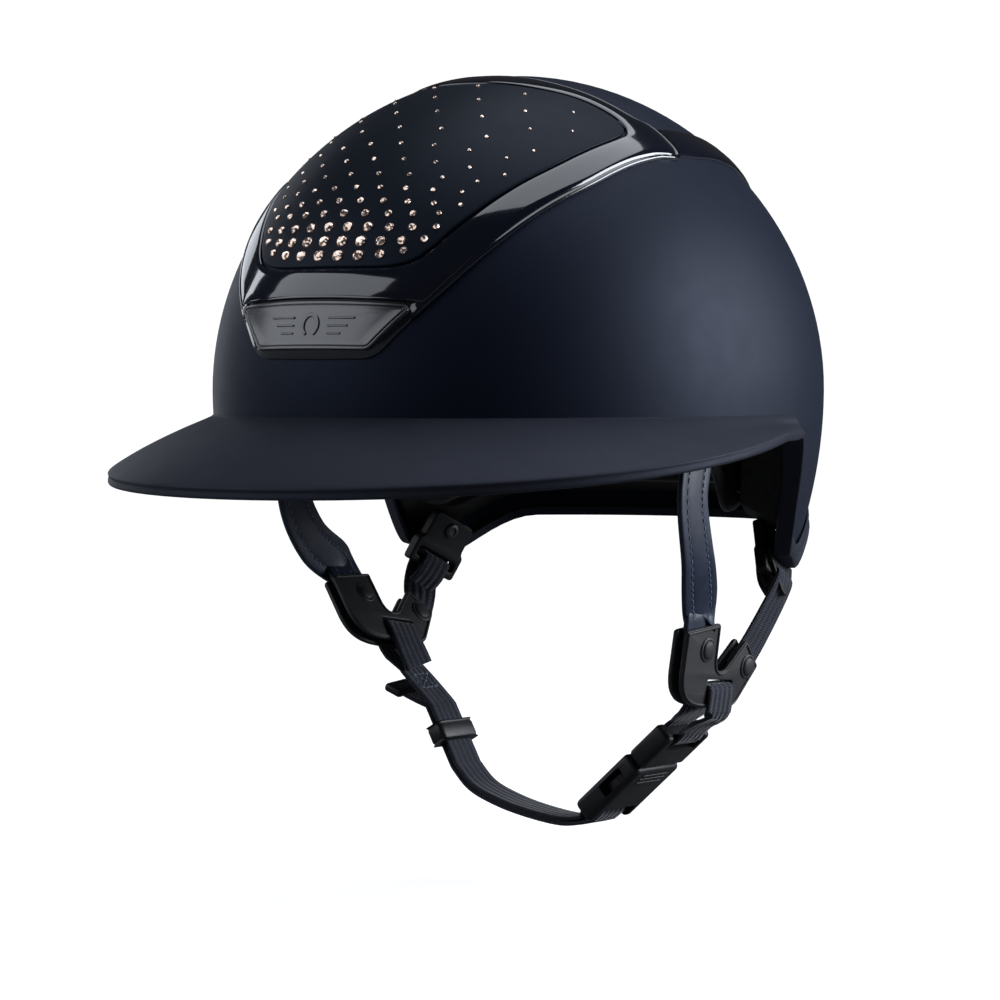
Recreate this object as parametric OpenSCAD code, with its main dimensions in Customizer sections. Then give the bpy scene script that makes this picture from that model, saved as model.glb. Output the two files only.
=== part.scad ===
// Riding helmet with a wide brim, a jewelled front panel and a buckled chin harness.
// Millimetres. +Z up, -Y is the front, +X is the wearer's left.
// The origin is the centre of the head opening, on the brow line.

/* [Shell] */
// Length of the shell, front to back
shell_length = 260; // [255:1:265]
// Width of the shell, side to side
shell_width = 208; // [205:1:212]
// Height of the crown above the brow line
crown_height = 131; // [128:0.5:135]
// Thickness of the moulded shell
shell_wall = 2.6; // [2.2:0.1:3]
// Depth of the rear skirt below the brow line
skirt_depth = 53; // [50:1:56]

/* [Brim] */
// How far the brim stands out at the front
brim_reach = 40; // [34:1:44]
// How far the front edge of the brim drops
brim_drop = 19; // [15:1:22]

/* [Lining] */
// Thickness of the foam liner
liner_wall = 18; // [17:0.5:19]
// Thickness of the comfort pads
pad_wall = 7; // [5:0.5:8]

/* [Harness] */
// Nominal width of the harness; the straps are 2 to 6 mm narrower
web_width = 20; // [18:1:20]
// Thickness of the side straps
strap_wall = 2.2; // [1.8:0.1:2.3]
// Thickness of the chin webbing
web_wall = 1.5; // [1.2:0.1:1.6]

/* [Node] */
// Which sub-part to draw

/* [Hidden] */
$fn = 40;
gap = 0.3;
half_length = shell_length / 2;
half_width = shell_width / 2;
equator_z = 12.5;
rise = crown_height - equator_z;
fall = 150;
plan_power = 2.15;
side_power = 1.96;
brow_rim_z = -2;
liner_out = -shell_wall - gap;
liner_in = liner_out - liner_wall;
pad_out = liner_in - 1.8;
pad_in = pad_out - pad_wall;
cradle_out = liner_in - 3.4;
cradle_in = cradle_out - 3;
frame_low = 0.25;
frame_high = 1.8;
panel_high = 1.2;

// ---------- small helpers ----------

function smooth(a, b, x) = let (t = max(0, min(1, (x - a) / (b - a)))) t * t * (3 - 2 * t);
function mix(a, b, t) = a + (b - a) * t;
function unit(v) = v / norm(v);

// ---------- the dome: a rounded form that every skin follows ----------

// How far a direction has to be scaled down to land on the shell.
function gauge(d) = pow(
    pow(pow(abs(d.x) / half_width, plan_power) + pow(abs(d.y) / half_length, plan_power),
        side_power / plan_power)
    + pow(abs(d.z) / (d.z > 0 ? rise : fall), side_power),
    1 / side_power);

// Point on the shell in direction d, moved outward by off.
function dome(d, off) = let (u = unit(d)) [0, 0, equator_z] + u * (1 / gauge(u) + off);

// Directions: turn goes round from the front, lift goes up; lat goes to the left, roll goes over the top.
function turn_dir(turn, lift) = [sin(turn) * cos(lift), -cos(turn) * cos(lift), sin(lift)];
function lat_dir(lat, roll) = [sin(lat), -cos(lat) * cos(roll), cos(lat) * sin(roll)];
function on_lat(p, off) = dome(lat_dir(p.x, p.y), off);

// Outward normal of the dome at a lat and roll.
function dome_normal(p) =
    unit(cross(on_lat([p.x + 0.5, p.y], 0) - on_lat([p.x - 0.5, p.y], 0),
               on_lat([p.x, p.y + 0.5], 0) - on_lat([p.x, p.y - 0.5], 0)));

// Lift angle at which the shell passes a height.
function plan_radius(turn) = 1 / gauge(turn_dir(turn, 0));
function lift_at(turn, z) = atan((z - equator_z) / (plan_radius(turn) - max(0, -z) * 0.1));
function wall_point(turn, z, off) = dome(turn_dir(turn, lift_at(turn, z)), off);

// Lower edge of the shell: level round the brow, then down into the rear skirt.
function rim_z(turn) = let (t = abs(turn))
    brow_rim_z
    - (skirt_depth - 9) * smooth(106.5, 116, t)
    - 7 * smooth(114, 127, t)
    + 17 * smooth(122, 147, t);

half_turns = concat([for (t = [0:7.5:97.5]) t], [for (t = [102:1.5:121]) t], [for (t = [126:6:174]) t]);
turns = concat(half_turns, [180], [for (i = [len(half_turns) - 1:-1:1]) -half_turns[i]]);

// ---------- skins: closed solids from grids of points ----------

// Wall between two grids. wrap joins the last column to the first; peak closes the last row with a point.
module skin(outer, inner, wrap = false, peak = []) {
    rows = len(outer);
    cols = len(outer[0]);
    has_peak = len(peak) == 2;
    shift = rows * cols + (has_peak ? 1 : 0);
    points = concat([for (r = outer) each r], has_peak ? [peak[0]] : [],
                    [for (r = inner) each r], has_peak ? [peak[1]] : []);
    last = wrap ? cols - 1 : cols - 2;
    function at(i, j) = i * cols + (j % cols);
    faces = concat(
        [for (i = [0:rows - 2], j = [0:last]) each
            let (a = at(i, j), b = at(i, j + 1), c = at(i + 1, j + 1), d = at(i + 1, j))
            [[a, d, c], [a, c, b], [a + shift, c + shift, d + shift], [a + shift, b + shift, c + shift]]],
        [for (j = [0:last]) each
            let (a = at(0, j), b = at(0, j + 1)) [[a, b, b + shift], [a, b + shift, a + shift]]],
        [for (j = [0:last]) each
            let (c = at(rows - 1, j + 1), d = at(rows - 1, j), top = rows * cols)
            has_peak ? [[d, top, c], [d + shift, c + shift, top + shift]]
                     : [[c, d, d + shift], [c, d + shift, c + shift]]],
        wrap ? [] : [for (i = [0:rows - 2]) each
            let (a = at(i, 0), d = at(i + 1, 0)) [[d, a, a + shift], [d, a + shift, d + shift]]],
        wrap ? [] : [for (i = [0:rows - 2]) each
            let (b = at(i, cols - 1), c = at(i + 1, cols - 1))
                [[b, c, c + shift], [b, c + shift, b + shift]]]
    );
    polyhedron(points, faces, convexity = 6);
}

// Solid swept round a closed ring of closed sections.
module ring_sweep(sections) {
    n = len(sections);
    m = len(sections[0]);
    function at(k, i) = (k % n) * m + (i % m);
    faces = [for (k = [0:n - 1], i = [0:m - 1]) each
        let (a = at(k, i), b = at(k + 1, i), c = at(k + 1, i + 1), d = at(k, i + 1))
        [[a, b, c], [a, c, d]]];
    polyhedron([for (s = sections) each s], faces, convexity = 6);
}

// Flat strap along a path; its width runs along the wide direction, one for all or one for each point.
module ribbon(path, width, wall, wide = [0, 1, 0]) {
    n = len(path);
    function wide_at(k) = is_list(wide[0]) ? wide[k] : wide;
    function run(k) = unit(path[min(k + 1, n - 1)] - path[max(k - 1, 0)]);
    function side(k) = unit(wide_at(k) - run(k) * (wide_at(k) * run(k)));
    function flat(k) = cross(run(k), side(k));
    corners = [[-1, -1], [1, -1], [1, 1], [-1, 1]];
    points = [for (k = [0:n - 1], c = corners)
        path[k] + side(k) * c.x * width / 2 + flat(k) * c.y * wall / 2];
    sides = [for (k = [0:n - 2], i = [0:3]) each
        let (a = k * 4 + i, b = k * 4 + (i + 1) % 4, c = b + 4, d = a + 4)
        [[a, d, c], [a, c, b]]];
    polyhedron(points, concat(sides, [[0, 1, 2], [0, 2, 3]],
        [[4 * n - 1, 4 * n - 2, 4 * n - 3], [4 * n - 1, 4 * n - 3, 4 * n - 4]]), convexity = 6);
}

// Points on a smooth curve through the given ones.
function spline(p, steps) = [for (i = [0:len(p) - 2], s = [0:steps - 1])
    let (t = s / steps, a = p[max(i - 1, 0)], b = p[i], c = p[i + 1], d = p[min(i + 2, len(p) - 1)])
    ((b * 2) + (c - a) * t + (a * 2 - b * 5 + c * 4 - d) * t * t
        + (b * 3 - a - c * 3 + d) * t * t * t) / 2];
function curve(p, steps) = concat(spline(p, steps), [p[len(p) - 1]]);

// Puts a child on the dome, its z axis along the outward normal.
module on_dome(p, off) {
    n = dome_normal(p);
    translate(on_lat(p, off))
        rotate([0, acos(n.z), atan2(n.y, n.x)])
            children();
}

// ---------- shell ----------

shell_rows = 11;

function shell_grid(off, lower) = [for (i = [0:shell_rows - 1]) [for (turn = turns)
    let (low = lift_at(turn, rim_z(turn) + lower))
    dome(turn_dir(turn, mix(low, 85, i / (shell_rows - 1))), off)]];

module outer_shell() {
    color([0.10, 0.12, 0.17])
        skin(shell_grid(0, 0), shell_grid(-shell_wall, 0), wrap = true,
             peak = [dome([0, 0, 1], 0), dome([0, 0, 1], -shell_wall)]);
}

// ---------- brim and edge trim ----------

function reach_at(turn) = 2.4 + brim_reach * pow(sin(90 * max(0, min(1, (112 - abs(turn)) / 100))), 1.1);
function drop_at(turn) = brim_drop * pow(max(0, cos(min(90, abs(turn) * 0.98))), 1.1);

function brim_section(turn) =
    let (
        z = rim_z(turn),
        r = reach_at(turn),
        d = drop_at(turn),
        foot = 1 - smooth(96, 112, abs(turn)),
        profile = [
            [gap, 5],
            [min(2, r * 0.5), 3 + foot],
            [r * 0.35 + 0.6, 1.6 - d * 0.18],
            [r * 0.7, 0.6 - d * 0.55],
            [r - 0.8, -0.3 - d * 0.94],
            [r, -1.6 - d],
            [r - 0.6, -3.2 - d - foot],
            [r * 0.75, -3.6 - d * 0.8],
            [r * 0.35, -4 - d * 0.32 - foot],
            [-shell_wall - 1.8, -4 - foot],
            [-shell_wall - 1.8, -0.7],
            [gap, -0.7]
        ],
        outward = unit([sin(turn) / half_width, -cos(turn) / half_length, 0])
    )
    [for (q = profile)
        let (wall = wall_point(turn, z + max(q.y, -0.7), 0))
        [wall.x, wall.y, z + q.y] + outward * q.x];

module brim() {
    color([0.13, 0.14, 0.18])
        difference() {
            ring_sweep([for (turn = turns) brim_section(turn)]);
            for (s = [-1, 1])
                clip_seat(s);
        }
}

// ---------- frame, panel, crystals and badge ----------

// Right half of the frame, from the front centre over to the rear centre:
// each entry is the lat and roll of the inner edge, then of the outer edge.
frame_half = [
    [0, 19.5, 0, 4.8], [6, 19.6, 6, 4.9], [11.5, 20.1, 11.5, 5.5], [15.6, 21.6, 15.6, 9.8],
    [18.2, 24.6, 20.6, 16], [19.8, 27.5, 24.2, 21.5], [22.2, 32, 28.6, 29.5], [26, 40, 33.3, 40.5],
    [29.9, 50, 37, 51.5], [31.9, 58.5, 38.6, 60.5], [33, 67, 39.5, 70.5], [33.2, 73.5, 39.9, 80],
    [32.6, 77, 39.7, 89.6], [31, 78.8, 32.3, 89.6], [28.4, 79.3, 29, 86.4], [24.6, 78.6, 24.9, 84.7],
    [20.5, 77.1, 20.5, 83.2], [12.5, 73.3, 12.5, 80.3], [0, 70.8, 0, 78]
];
frame_loop = concat(
    [for (f = frame_half) f],
    [for (i = [len(frame_half) - 2:-1:1]) let (f = frame_half[i]) [-f[0], f[1], -f[2], f[3]]]);
// The same loop with a point added halfway along each side.
fine_loop = [for (i = [0:len(frame_loop) - 1], h = [0, 0.5])
    frame_loop[i] * (1 - h) + frame_loop[(i + 1) % len(frame_loop)] * h];

function frame_row(across, off) = [for (f = fine_loop)
    on_lat([mix(f[2], f[0], across), mix(f[3], f[1], across)], off)];

module gloss_frame() {
    steps = [0, 0.12, 0.35, 0.65, 0.9, 1];
    heights = [0.9, frame_high, frame_high - 0.2, frame_high - 0.2, frame_high - 0.3, panel_high];
    color([0.04, 0.05, 0.10])
        difference() {
            skin([for (i = [0:5]) frame_row(steps[i], heights[i])],
                 [for (i = [0:5]) frame_row(steps[i], frame_low)], wrap = true);
            intake_cutter();
        }
}

// The slit above the badge.
module intake_cutter() {
    translate([0, -half_length + 3, 43.2])
        rotate([-16, 0, 0])
            cube([56, 14, 4.4], center = true);
}

module intake_insert() {
    rolls = [for (r = [13.35:0.3:14.25]) r];
    lats = [for (l = [-11:2.75:11]) l];
    color([0.02, 0.02, 0.02])
        skin([for (r = rolls) [for (l = lats) on_lat([l, r], 0.9)]],
             [for (r = rolls) [for (l = lats) on_lat([l, r], frame_low)]]);
}

// The two tails of the frame and the bow that joins them at the back.
tail_half = [
    [32.2, 90.2, 39.6, 90.2], [31.5, 98, 39, 98], [30.4, 106, 37.4, 106], [28.2, 116, 34.6, 116],
    [25, 126, 30.8, 126], [21, 135, 26.2, 136], [16.5, 142.5, 21, 145.5], [11, 149, 14.5, 154],
    [5.5, 152.5, 7, 159], [0, 153.5, 0, 160.5]
];
tail_loop = concat(
    [for (f = tail_half) f],
    [for (i = [len(tail_half) - 2:-1:0]) let (f = tail_half[i]) [-f[0], f[1], -f[2], f[3]]]);

// The same strip with a point added halfway along each side.
fine_tail = [for (i = [0:len(tail_loop) - 1], h = i < len(tail_loop) - 1 ? [0, 0.5] : [0])
    tail_loop[i] * (1 - h) + tail_loop[min(i + 1, len(tail_loop) - 1)] * h];

function tail_row(f, off) = [for (k = [0, 0.2, 0.5, 0.8, 1])
    on_lat([mix(f[0], f[2], k), mix(f[1], f[3], k)], off[round(k * 5)])];

module rear_frame() {
    crown = [0.8, frame_high - 0.3, frame_high, frame_high, frame_high - 0.3, 0.8];
    flat = [for (k = [0:5]) frame_low];
    color([0.04, 0.05, 0.10])
        skin([for (f = fine_tail) tail_row(f, crown)], [for (f = fine_tail) tail_row(f, flat)]);
}

// Slats over the exhaust opening between the tails.
module rear_louvres() {
    color([0.05, 0.05, 0.06])
        for (k = [0:3]) {
            reach = 15 - k * 3;
            lats = [for (t = [-1:0.25:1]) t * reach];
            rolls = [137 + k * 3.6, 138.2 + k * 3.6, 139.4 + k * 3.6];
            skin([for (r = rolls) [for (l = lats) on_lat([l, r], 1.5)]],
                 [for (r = rolls) [for (l = lats) on_lat([l, r], frame_low)]]);
        }
}

panel_middle = [0, 48];
panel_rings = [1, 0.82, 0.64, 0.46, 0.28, 0.12];

function panel_ring(k, inset, off) = [for (f = fine_loop)
    let (edge = [f[0], f[1]] - unit([f[0], f[1]] - panel_middle) * inset)
    on_lat(panel_middle + (edge - panel_middle) * k, off)];

module front_panel() {
    color([0.06, 0.07, 0.10])
        skin([for (k = panel_rings) panel_ring(k, 0.35, panel_high - (k == 1 ? 0.3 : 0))],
             [for (k = panel_rings) panel_ring(k, 0.35, frame_low)], wrap = true,
             peak = [on_lat(panel_middle, panel_high), on_lat(panel_middle, frame_low)]);
}

// One faceted stone on the panel.
module crystal(p, radius) {
    on_dome(p, panel_high + 0.12)
        cylinder(h = radius * 0.75, r1 = radius, r2 = radius * 0.55);
}

// A row of stones across the panel; the outer ones are smaller.
module crystal_row(roll, count, spread, radius) {
    for (i = [0:count - 1]) {
        t = i / (count - 1) * 2 - 1;
        crystal([t * spread, roll + 1.6 * abs(t) * t * t], radius * (1 - 0.35 * t * t));
    }
}

module crystals_large() {
    color([0.95, 0.78, 0.70]) {
        crystal_row(21.9, 8, 13.4, 2.05);
        crystal_row(24.5, 10, 16.2, 2.05);
        crystal_row(27.2, 10, 17.4, 1.85);
    }
}

module crystals_medium() {
    color([0.95, 0.78, 0.70]) {
        crystal_row(29.9, 9, 17, 1.5);
        crystal_row(32.5, 10, 19.8, 1.25);
        crystal_row(35.3, 9, 19, 1.05);
    }
}

module crystals_small() {
    color([0.95, 0.78, 0.70]) {
        crystal_row(38.4, 8, 20.5, 0.95);
        crystal_row(42, 9, 24, 0.9);
        crystal_row(46.2, 8, 22.5, 0.85);
        crystal_row(51, 7, 25.5, 0.8);
        crystal_row(56.5, 6, 22, 0.8);
        crystal_row(62.5, 7, 27.5, 0.75);
        crystal_row(69, 6, 24, 0.75);
    }
}

// Badge with chamfered edges; it widens upward, from 9.8 to 15.4 degrees each side.
module badge_plate() {
    steps = [-1, -0.94, -0.5, 0, 0.5, 0.94, 1];
    edge = [1.6, 2.3, 2.3, 2.3, 2.3, 2.3, 1.6];
    function spot(i, j, off) = on_lat([mix(9.8, 15.4, i / 6) * steps[j], mix(6.4, 12.5, i / 6)], off);
    color([0.16, 0.15, 0.19])
        skin([for (i = [0:6]) [for (j = [0:6]) spot(i, j, frame_high + min(edge[i], edge[j]))]],
             [for (i = [0:6]) [for (j = [0:6]) spot(i, j, frame_high + 0.12)]]);
}

// Plain horseshoe relief with three level bars at each side.
module badge_emblem() {
    color([0.45, 0.44, 0.48]) {
        on_dome([0, 9.4], frame_high + 2.42)
            difference() {
                cylinder(h = 0.6, r = 4.4);
                translate([0, 0, -1])
                    cylinder(h = 3, r = 3);
                translate([0, -2.2, -1])
                    cube([8, 4.4, 3]);
            }
        for (s = [-1, 1], k = [-1:1])
            on_dome([s * 5.2, 9.4 + k * 1.2], frame_high + 2.42)
                translate([-0.4, -4, 0])
                    cube([0.8, 8, 0.5]);
    }
}

// ---------- lining ----------

module foam_liner() {
    color([0.05, 0.05, 0.05])
        difference() {
            skin(shell_grid(liner_out, 4), shell_grid(liner_in, 4), wrap = true,
                 peak = [dome([0, 0, 1], liner_out), dome([0, 0, 1], liner_in)]);
            for (s = [-1, 1]) {
                translate([s * 97.5, anchor_y, 0])
                    cube([12.5, 30, 36], center = true);
                cradle_pin_hole(s);
                clip_pocket(s);
            }
        }
}

function pad_grid(turn_a, turn_b, z_a, z_b, cols, rows, off) =
    [for (i = [0:rows]) [for (j = [0:cols])
        let (turn = mix(turn_a, turn_b, j / cols), z = mix(z_a, z_b, i / rows))
        wall_point(turn, z, off)]];

module wall_pad(turn_a, turn_b, z_a, z_b, out, in) {
    cols = max(4, round((turn_b - turn_a) / 8));
    skin(
        pad_grid(turn_a, turn_b, z_a, z_b, cols, 4, out),
        pad_grid(turn_a, turn_b, z_a, z_b, cols, 4, in)
    );
}

module brow_pad() {
    color([0.07, 0.07, 0.08])
        wall_pad(-66, 66, 4, 34, pad_out, pad_in);
}

module side_pad_left() {
    color([0.07, 0.07, 0.08])
        wall_pad(84, 112, 8, 38, pad_out, pad_in);
}

module side_pad_right() {
    color([0.07, 0.07, 0.08])
        wall_pad(-112, -84, 8, 38, pad_out, pad_in);
}

module crown_pad() {
    lats = [for (l = [-26:6.5:26]) l];
    rolls = [for (r = [58:7:121]) r];
    color([0.07, 0.07, 0.08])
        skin([for (r = rolls) [for (l = lats) on_lat([l, r], pad_out)]],
             [for (r = rolls) [for (l = lats) on_lat([l, r], pad_in)]]);
}

// Hook-tape dots that hold the pads on the liner.
module hook_dots() {
    places = [[0, 78], [0, 100], [-16, 88], [16, 88], [-30, 10], [30, 10], [0, 10]];
    color([0.2, 0.2, 0.2])
        for (p = places)
            on_dome(p, liner_in - 1.45)
                cylinder(h = 0.5, r = 4);
}

// ---------- rear cradle ----------

cradle_axis = [0, 41, -20];
cradle_pin_x = [65, 90];

function cradle_low(t) = let (a = abs(t))
    -36 - 8 * smooth(38, 54, a) - 6 * smooth(50, 61, a) + 24 * smooth(64, 82, a);
function cradle_high(t) = -13 + 5 * smooth(40, 70, abs(t));

module cradle_band(out, in, reach, low_shift, high_shift) {
    ts = [for (i = [0:24]) mix(-reach, reach, i / 24)];
    function grid(off) = [for (i = [0:4]) [for (t = ts)
        wall_point(180 + t, mix(cradle_low(t) + low_shift, cradle_high(t) - high_shift, i / 4), off)]];
    skin(grid(out), grid(in));
}

module rear_cradle() {
    color([0.20, 0.20, 0.21])
        difference() {
            union() {
                cradle_band(cradle_out, cradle_in, 80, 0, 0);
                for (s = [-1, 1])
                    translate([s * 70.5, cradle_axis.y, cradle_axis.z])
                        rotate([0, 90, 0])
                            cylinder(h = 5, r = 7, center = true);
            }
            translate(cradle_axis)
                rotate([0, 90, 0])
                    cylinder(h = 220, r = 2.56, center = true);
        }
}

module nape_pad() {
    color([0.28, 0.28, 0.29])
        cradle_band(cradle_in - 0.6, cradle_in - 5.4, 30, 1.5, 1.5);
}

module cradle_pin(s) {
    translate([s * cradle_pin_x[0], cradle_axis.y, cradle_axis.z])
        rotate([0, s * 90, 0]) {
            cylinder(h = cradle_pin_x[1] - cradle_pin_x[0], r = 2.5);
            translate([0, 0, -1.5])
                cylinder(h = 1.5, r = 5);
        }
}

module cradle_pin_hole(s) {
    translate([s * 84, cradle_axis.y, cradle_axis.z])
        rotate([0, 90, 0])
            cylinder(h = 40, r = 2.56, center = true);
}

module cradle_pins() {
    color([0.25, 0.25, 0.26])
        for (s = [-1, 1])
            cradle_pin(s);
}

// ---------- harness anchors ----------

anchor_y = -22;
anchor_x = 94;

module front_anchor(s) {
    color([0.08, 0.08, 0.09])
        difference() {
            translate([s * (anchor_x + 2.9), anchor_y, 5])
                cube([3, 20, 14], center = true);
            translate([s * anchor_x, anchor_y, 6])
                rotate([0, 90, 0])
                    cylinder(h = 20, r = 2.05, center = true);
        }
}

module front_anchor_left() {
    front_anchor(1);
}

module front_anchor_right() {
    front_anchor(-1);
}

module anchor_rivets() {
    color([0.5, 0.5, 0.5])
        for (s = [-1, 1])
            translate([s * (anchor_x - 1.2), anchor_y, 6])
                rotate([0, s * 90, 0]) {
                    cylinder(h = 5.6, r = 2);
                    translate([0, 0, -1.2])
                        cylinder(h = 1.2, r1 = 3, r2 = 4.5);
                }
}

// Rear clip: a tongue inside the skirt with a slotted loop below it.
clip_place = [80.4, 50, -55.5];
clip_lean = 24;
clip_toe = 8;
clip_tuck = 20;

module at_clip(s) {
    translate([s * clip_place.x, clip_place.y, clip_place.z])
        rotate([-clip_lean, 0, 0])
            rotate([0, 0, s * clip_toe])
                rotate([0, -s * clip_tuck, 0])
                    children();
}

module clip_pocket(s) {
    at_clip(s)
        translate([0, 0, 14])
            cube([14, 30, 40], center = true);
}

// Shallow seat in the inner face of the trim, so the loop lies flat against it.
module clip_seat(s) {
    at_clip(s)
        translate([0, 0, -1])
            cube([5.4, 26.6, 10.6], center = true);
    at_clip(s)
        translate([0, 0, 11])
            cube([4.4, 22.6, 17], center = true);
}

module rear_clip(s) {
    color([0.09, 0.09, 0.10])
        at_clip(s)
            difference() {
                union() {
                    translate([0, 0, 10])
                        cube([4, 22, 14], center = true);
                    translate([0, 0, -1])
                        cube([5, 26, 10], center = true);
                }
                translate([0, 0, -1])
                    cube([20, 21, 4], center = true);
                translate([0, 0, 12])
                    rotate([0, 90, 0])
                        cylinder(h = 20, r = 1.75, center = true);
            }
}

module rear_clip_left() {
    rear_clip(1);
}

module rear_clip_right() {
    rear_clip(-1);
}

module rear_clip_screws() {
    color([0.5, 0.5, 0.5])
        for (s = [-1, 1])
            at_clip(s)
                translate([-s * 2, 0, 12])
                    rotate([0, s * 90, 0]) {
                        cylinder(h = 5.6, r = 1.7);
                        translate([0, 0, -1.4])
                            cylinder(h = 1.4, r = 3.2);
                    }
}

// ---------- dividers and side straps ----------

// Foot of each divider, how far its top leans out, and which side it is on.
divider_left = [78.5, 11.5, -99.4];
divider_right = [-79, 23, -84.7];
lean_left = 8;
lean_right = 36;
tilt_left = -4.6;
tilt_right = -10.7;
plate_wall = 1.6;
plate_gap = strap_wall + 0.8;

function divider_of(s) = s > 0 ? divider_left : divider_right;
function lean_of(s) = s > 0 ? lean_left : -lean_right;
function tilt_of(s) = s > 0 ? tilt_left : tilt_right;
function divider_dir(s, p) =
    let (l = lean_of(s), t = tilt_of(s), y = p.y * cos(t) - p.z * sin(t), z = p.y * sin(t) + p.z * cos(t))
    [p.x * cos(l) + z * sin(l), y, -p.x * sin(l) + z * cos(l)];
function divider_point(s, p) = divider_of(s) + divider_dir(s, p);

// Front arm, crotch, rear arm and rounded foot, in the plate's own plane.
divider_outline = [
    [-28.3, 21.6], [-6.3, 25.4], [-5, 10.5], [-3.6, 8], [-1, 7.2], [1.8, 8], [13.5, 19.6], [24, 10],
    [13, -4], [10.5, -5.8], [7.5, -6.5], [-10, -6.5], [-16, -6.2], [-21.5, -4.6], [-25.5, -1.2],
    [-27.4, 4]
];
divider_slot = [17.4, 5];
rivet_front = [-13, 15.3];
rivet_rear = [16.6, 9.6];

module at_divider(s) {
    translate(divider_of(s))
        rotate([0, lean_of(s), 0])
            rotate([tilt_of(s), 0, 0])
                children();
}

module divider_plate(s, sign) {
    at_divider(s)
        translate([sign * (plate_gap + plate_wall) / 2, 0, 0])
            difference() {
                rotate([90, 0, 90])
                    linear_extrude(height = plate_wall, center = true)
                        difference() {
                            polygon(divider_outline);
                            translate([-0.5, 1.6])
                                square(divider_slot, center = true);
                        }
                for (p = [rivet_front, rivet_rear])
                    translate([0, p.x, p.y])
                        rotate([0, 90, 0])
                            cylinder(h = 10, r = 2.05, center = true);
            }
}

module divider_outer_left() {
    color([0.22, 0.22, 0.22])
        divider_plate(1, 1);
}

module divider_inner_left() {
    color([0.22, 0.22, 0.22])
        divider_plate(1, -1);
}

module divider_outer_right() {
    color([0.22, 0.22, 0.22])
        divider_plate(-1, -1);
}

module divider_inner_right() {
    color([0.22, 0.22, 0.22])
        divider_plate(-1, 1);
}

module divider_rivets() {
    length = plate_gap + 2 * plate_wall;
    color([0.25, 0.25, 0.25])
        for (s = [-1, 1], p = [rivet_front, rivet_rear])
            at_divider(s)
                translate([0, p.x, p.y])
                    rotate([0, 90, 0]) {
                        cylinder(h = length, r = 2, center = true);
                        for (e = [-1, 1])
                            translate([0, 0, e * (length / 2 + 0.6)])
                                cylinder(h = 1.2, r = 4.2, center = true);
                    }
}

// Centre line of a front strap: down from its anchor, then flat between the divider's plates.
function front_bend(s) = s > 0
    ? [[94, -26, -27], [91, -18, -50]]
    : [[-95, -22, -29], [-97, -8, -47.6]];
function front_path(s) = curve(concat(
    [[s * anchor_x, anchor_y, 13], [s * anchor_x, anchor_y, -6]],
    front_bend(s),
    [for (p = [[-17.8, 30], [-17.2, 25.6], [-15, 10]]) divider_point(s, [0, p.x, p.y])]), 3);

module divider_hole(s, p) {
    at_divider(s)
        translate([0, p.x, p.y])
            rotate([0, 90, 0])
                cylinder(h = 12, r = 2.05, center = true);
}

module front_strap(s) {
    color([0.12, 0.16, 0.26])
        difference() {
            ribbon(front_path(s), web_width - 2, strap_wall);
            translate([s * anchor_x, anchor_y, 6])
                rotate([0, 90, 0])
                    cylinder(h = 12, r = 2.05, center = true);
            divider_hole(s, rivet_front);
        }
}

module front_strap_left() {
    front_strap(1);
}

module front_strap_right() {
    front_strap(-1);
}

// Point of a clip's own plane: out across its face, up along its tongue.
function clip_dir(s, p) =
    let (
        a = s * clip_tuck,
        b = s * clip_toe,
        u = p.x * cos(a) - p.z * sin(a),
        z = p.x * sin(a) + p.z * cos(a),
        x = u * cos(b) - p.y * sin(b),
        y = u * sin(b) + p.y * cos(b)
    )
    [x, y * cos(clip_lean) + z * sin(clip_lean), -y * sin(clip_lean) + z * cos(clip_lean)];
function clip_point(s, p) = [s * clip_place.x, clip_place.y, clip_place.z] + clip_dir(s, p);

// Rear strap: sewn round the lower bar of the clip, then down into the divider.
module rear_strap(s) {
    round_bar = [
        [-1.6, -13], [-3.6, -8], [-3.6, -1.8], [-2.2, -0.7], [2.2, -0.7], [3.6, -1.8], [3.6, -8]
    ];
    path = concat(
        [for (p = round_bar) clip_point(s, [s * p.x, 0, p.y])],
        [for (p = [[23, 18.3], [12, 6]]) divider_point(s, [0, p.x, p.y])]);
    wide = [for (k = [0:8]) k < 7 ? clip_dir(s, [0, 1, 0]) : divider_dir(s, [0, 0.8, -0.6])];
    color([0.12, 0.14, 0.20])
        difference() {
            ribbon(path, web_width - 6, web_wall, wide);
            divider_hole(s, rivet_rear);
        }
}

module rear_strap_left() {
    rear_strap(1);
}

module rear_strap_right() {
    rear_strap(-1);
}

// ---------- buckle ----------

buckle_place = [42, 20, -132];
buckle_rise = 41;

module at_buckle() {
    translate(buckle_place)
        rotate([0, -buckle_rise, 0])
            children();
}

function buckle_point(p) = buckle_place
    + [
        p.x * cos(buckle_rise) - p.z * sin(buckle_rise),
        p.y,
        p.x * sin(buckle_rise) + p.z * cos(buckle_rise)
    ];

// Half of the buckle that the prongs enter; its webbing bar is at the far end.
module buckle_socket() {
    color([0.10, 0.10, 0.11])
        at_buckle()
            difference() {
                translate([-10, 0, 0])
                    cube([32, 29, 9.6], center = true);
                translate([-5, 0, 0])
                    cube([23, 24, 5], center = true);
                for (s = [-1, 1])
                    translate([-6.5, s * 13, 0])
                        cube([12, 6, 5.4], center = true);
                translate([-20.4, 0, 0])
                    cube([4.4, 22, 20], center = true);
                for (e = [-1, 1])
                    translate([-23, 0, e * 12])
                        cube([8, 22, 20], center = true);
            }
}

prong_pivot = [10, 7];
prong_outline = [
    [10, 5], [10, 9], [5, 9.6], [-1, 10.7], [-3, 11], [-6, 11.45], [-8.5, 11.85], [-10.5, 11], [-12.5, 9],
    [-12.5, 7.6], [-9, 8.2], [-2, 7.6], [6, 6]
];

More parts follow.
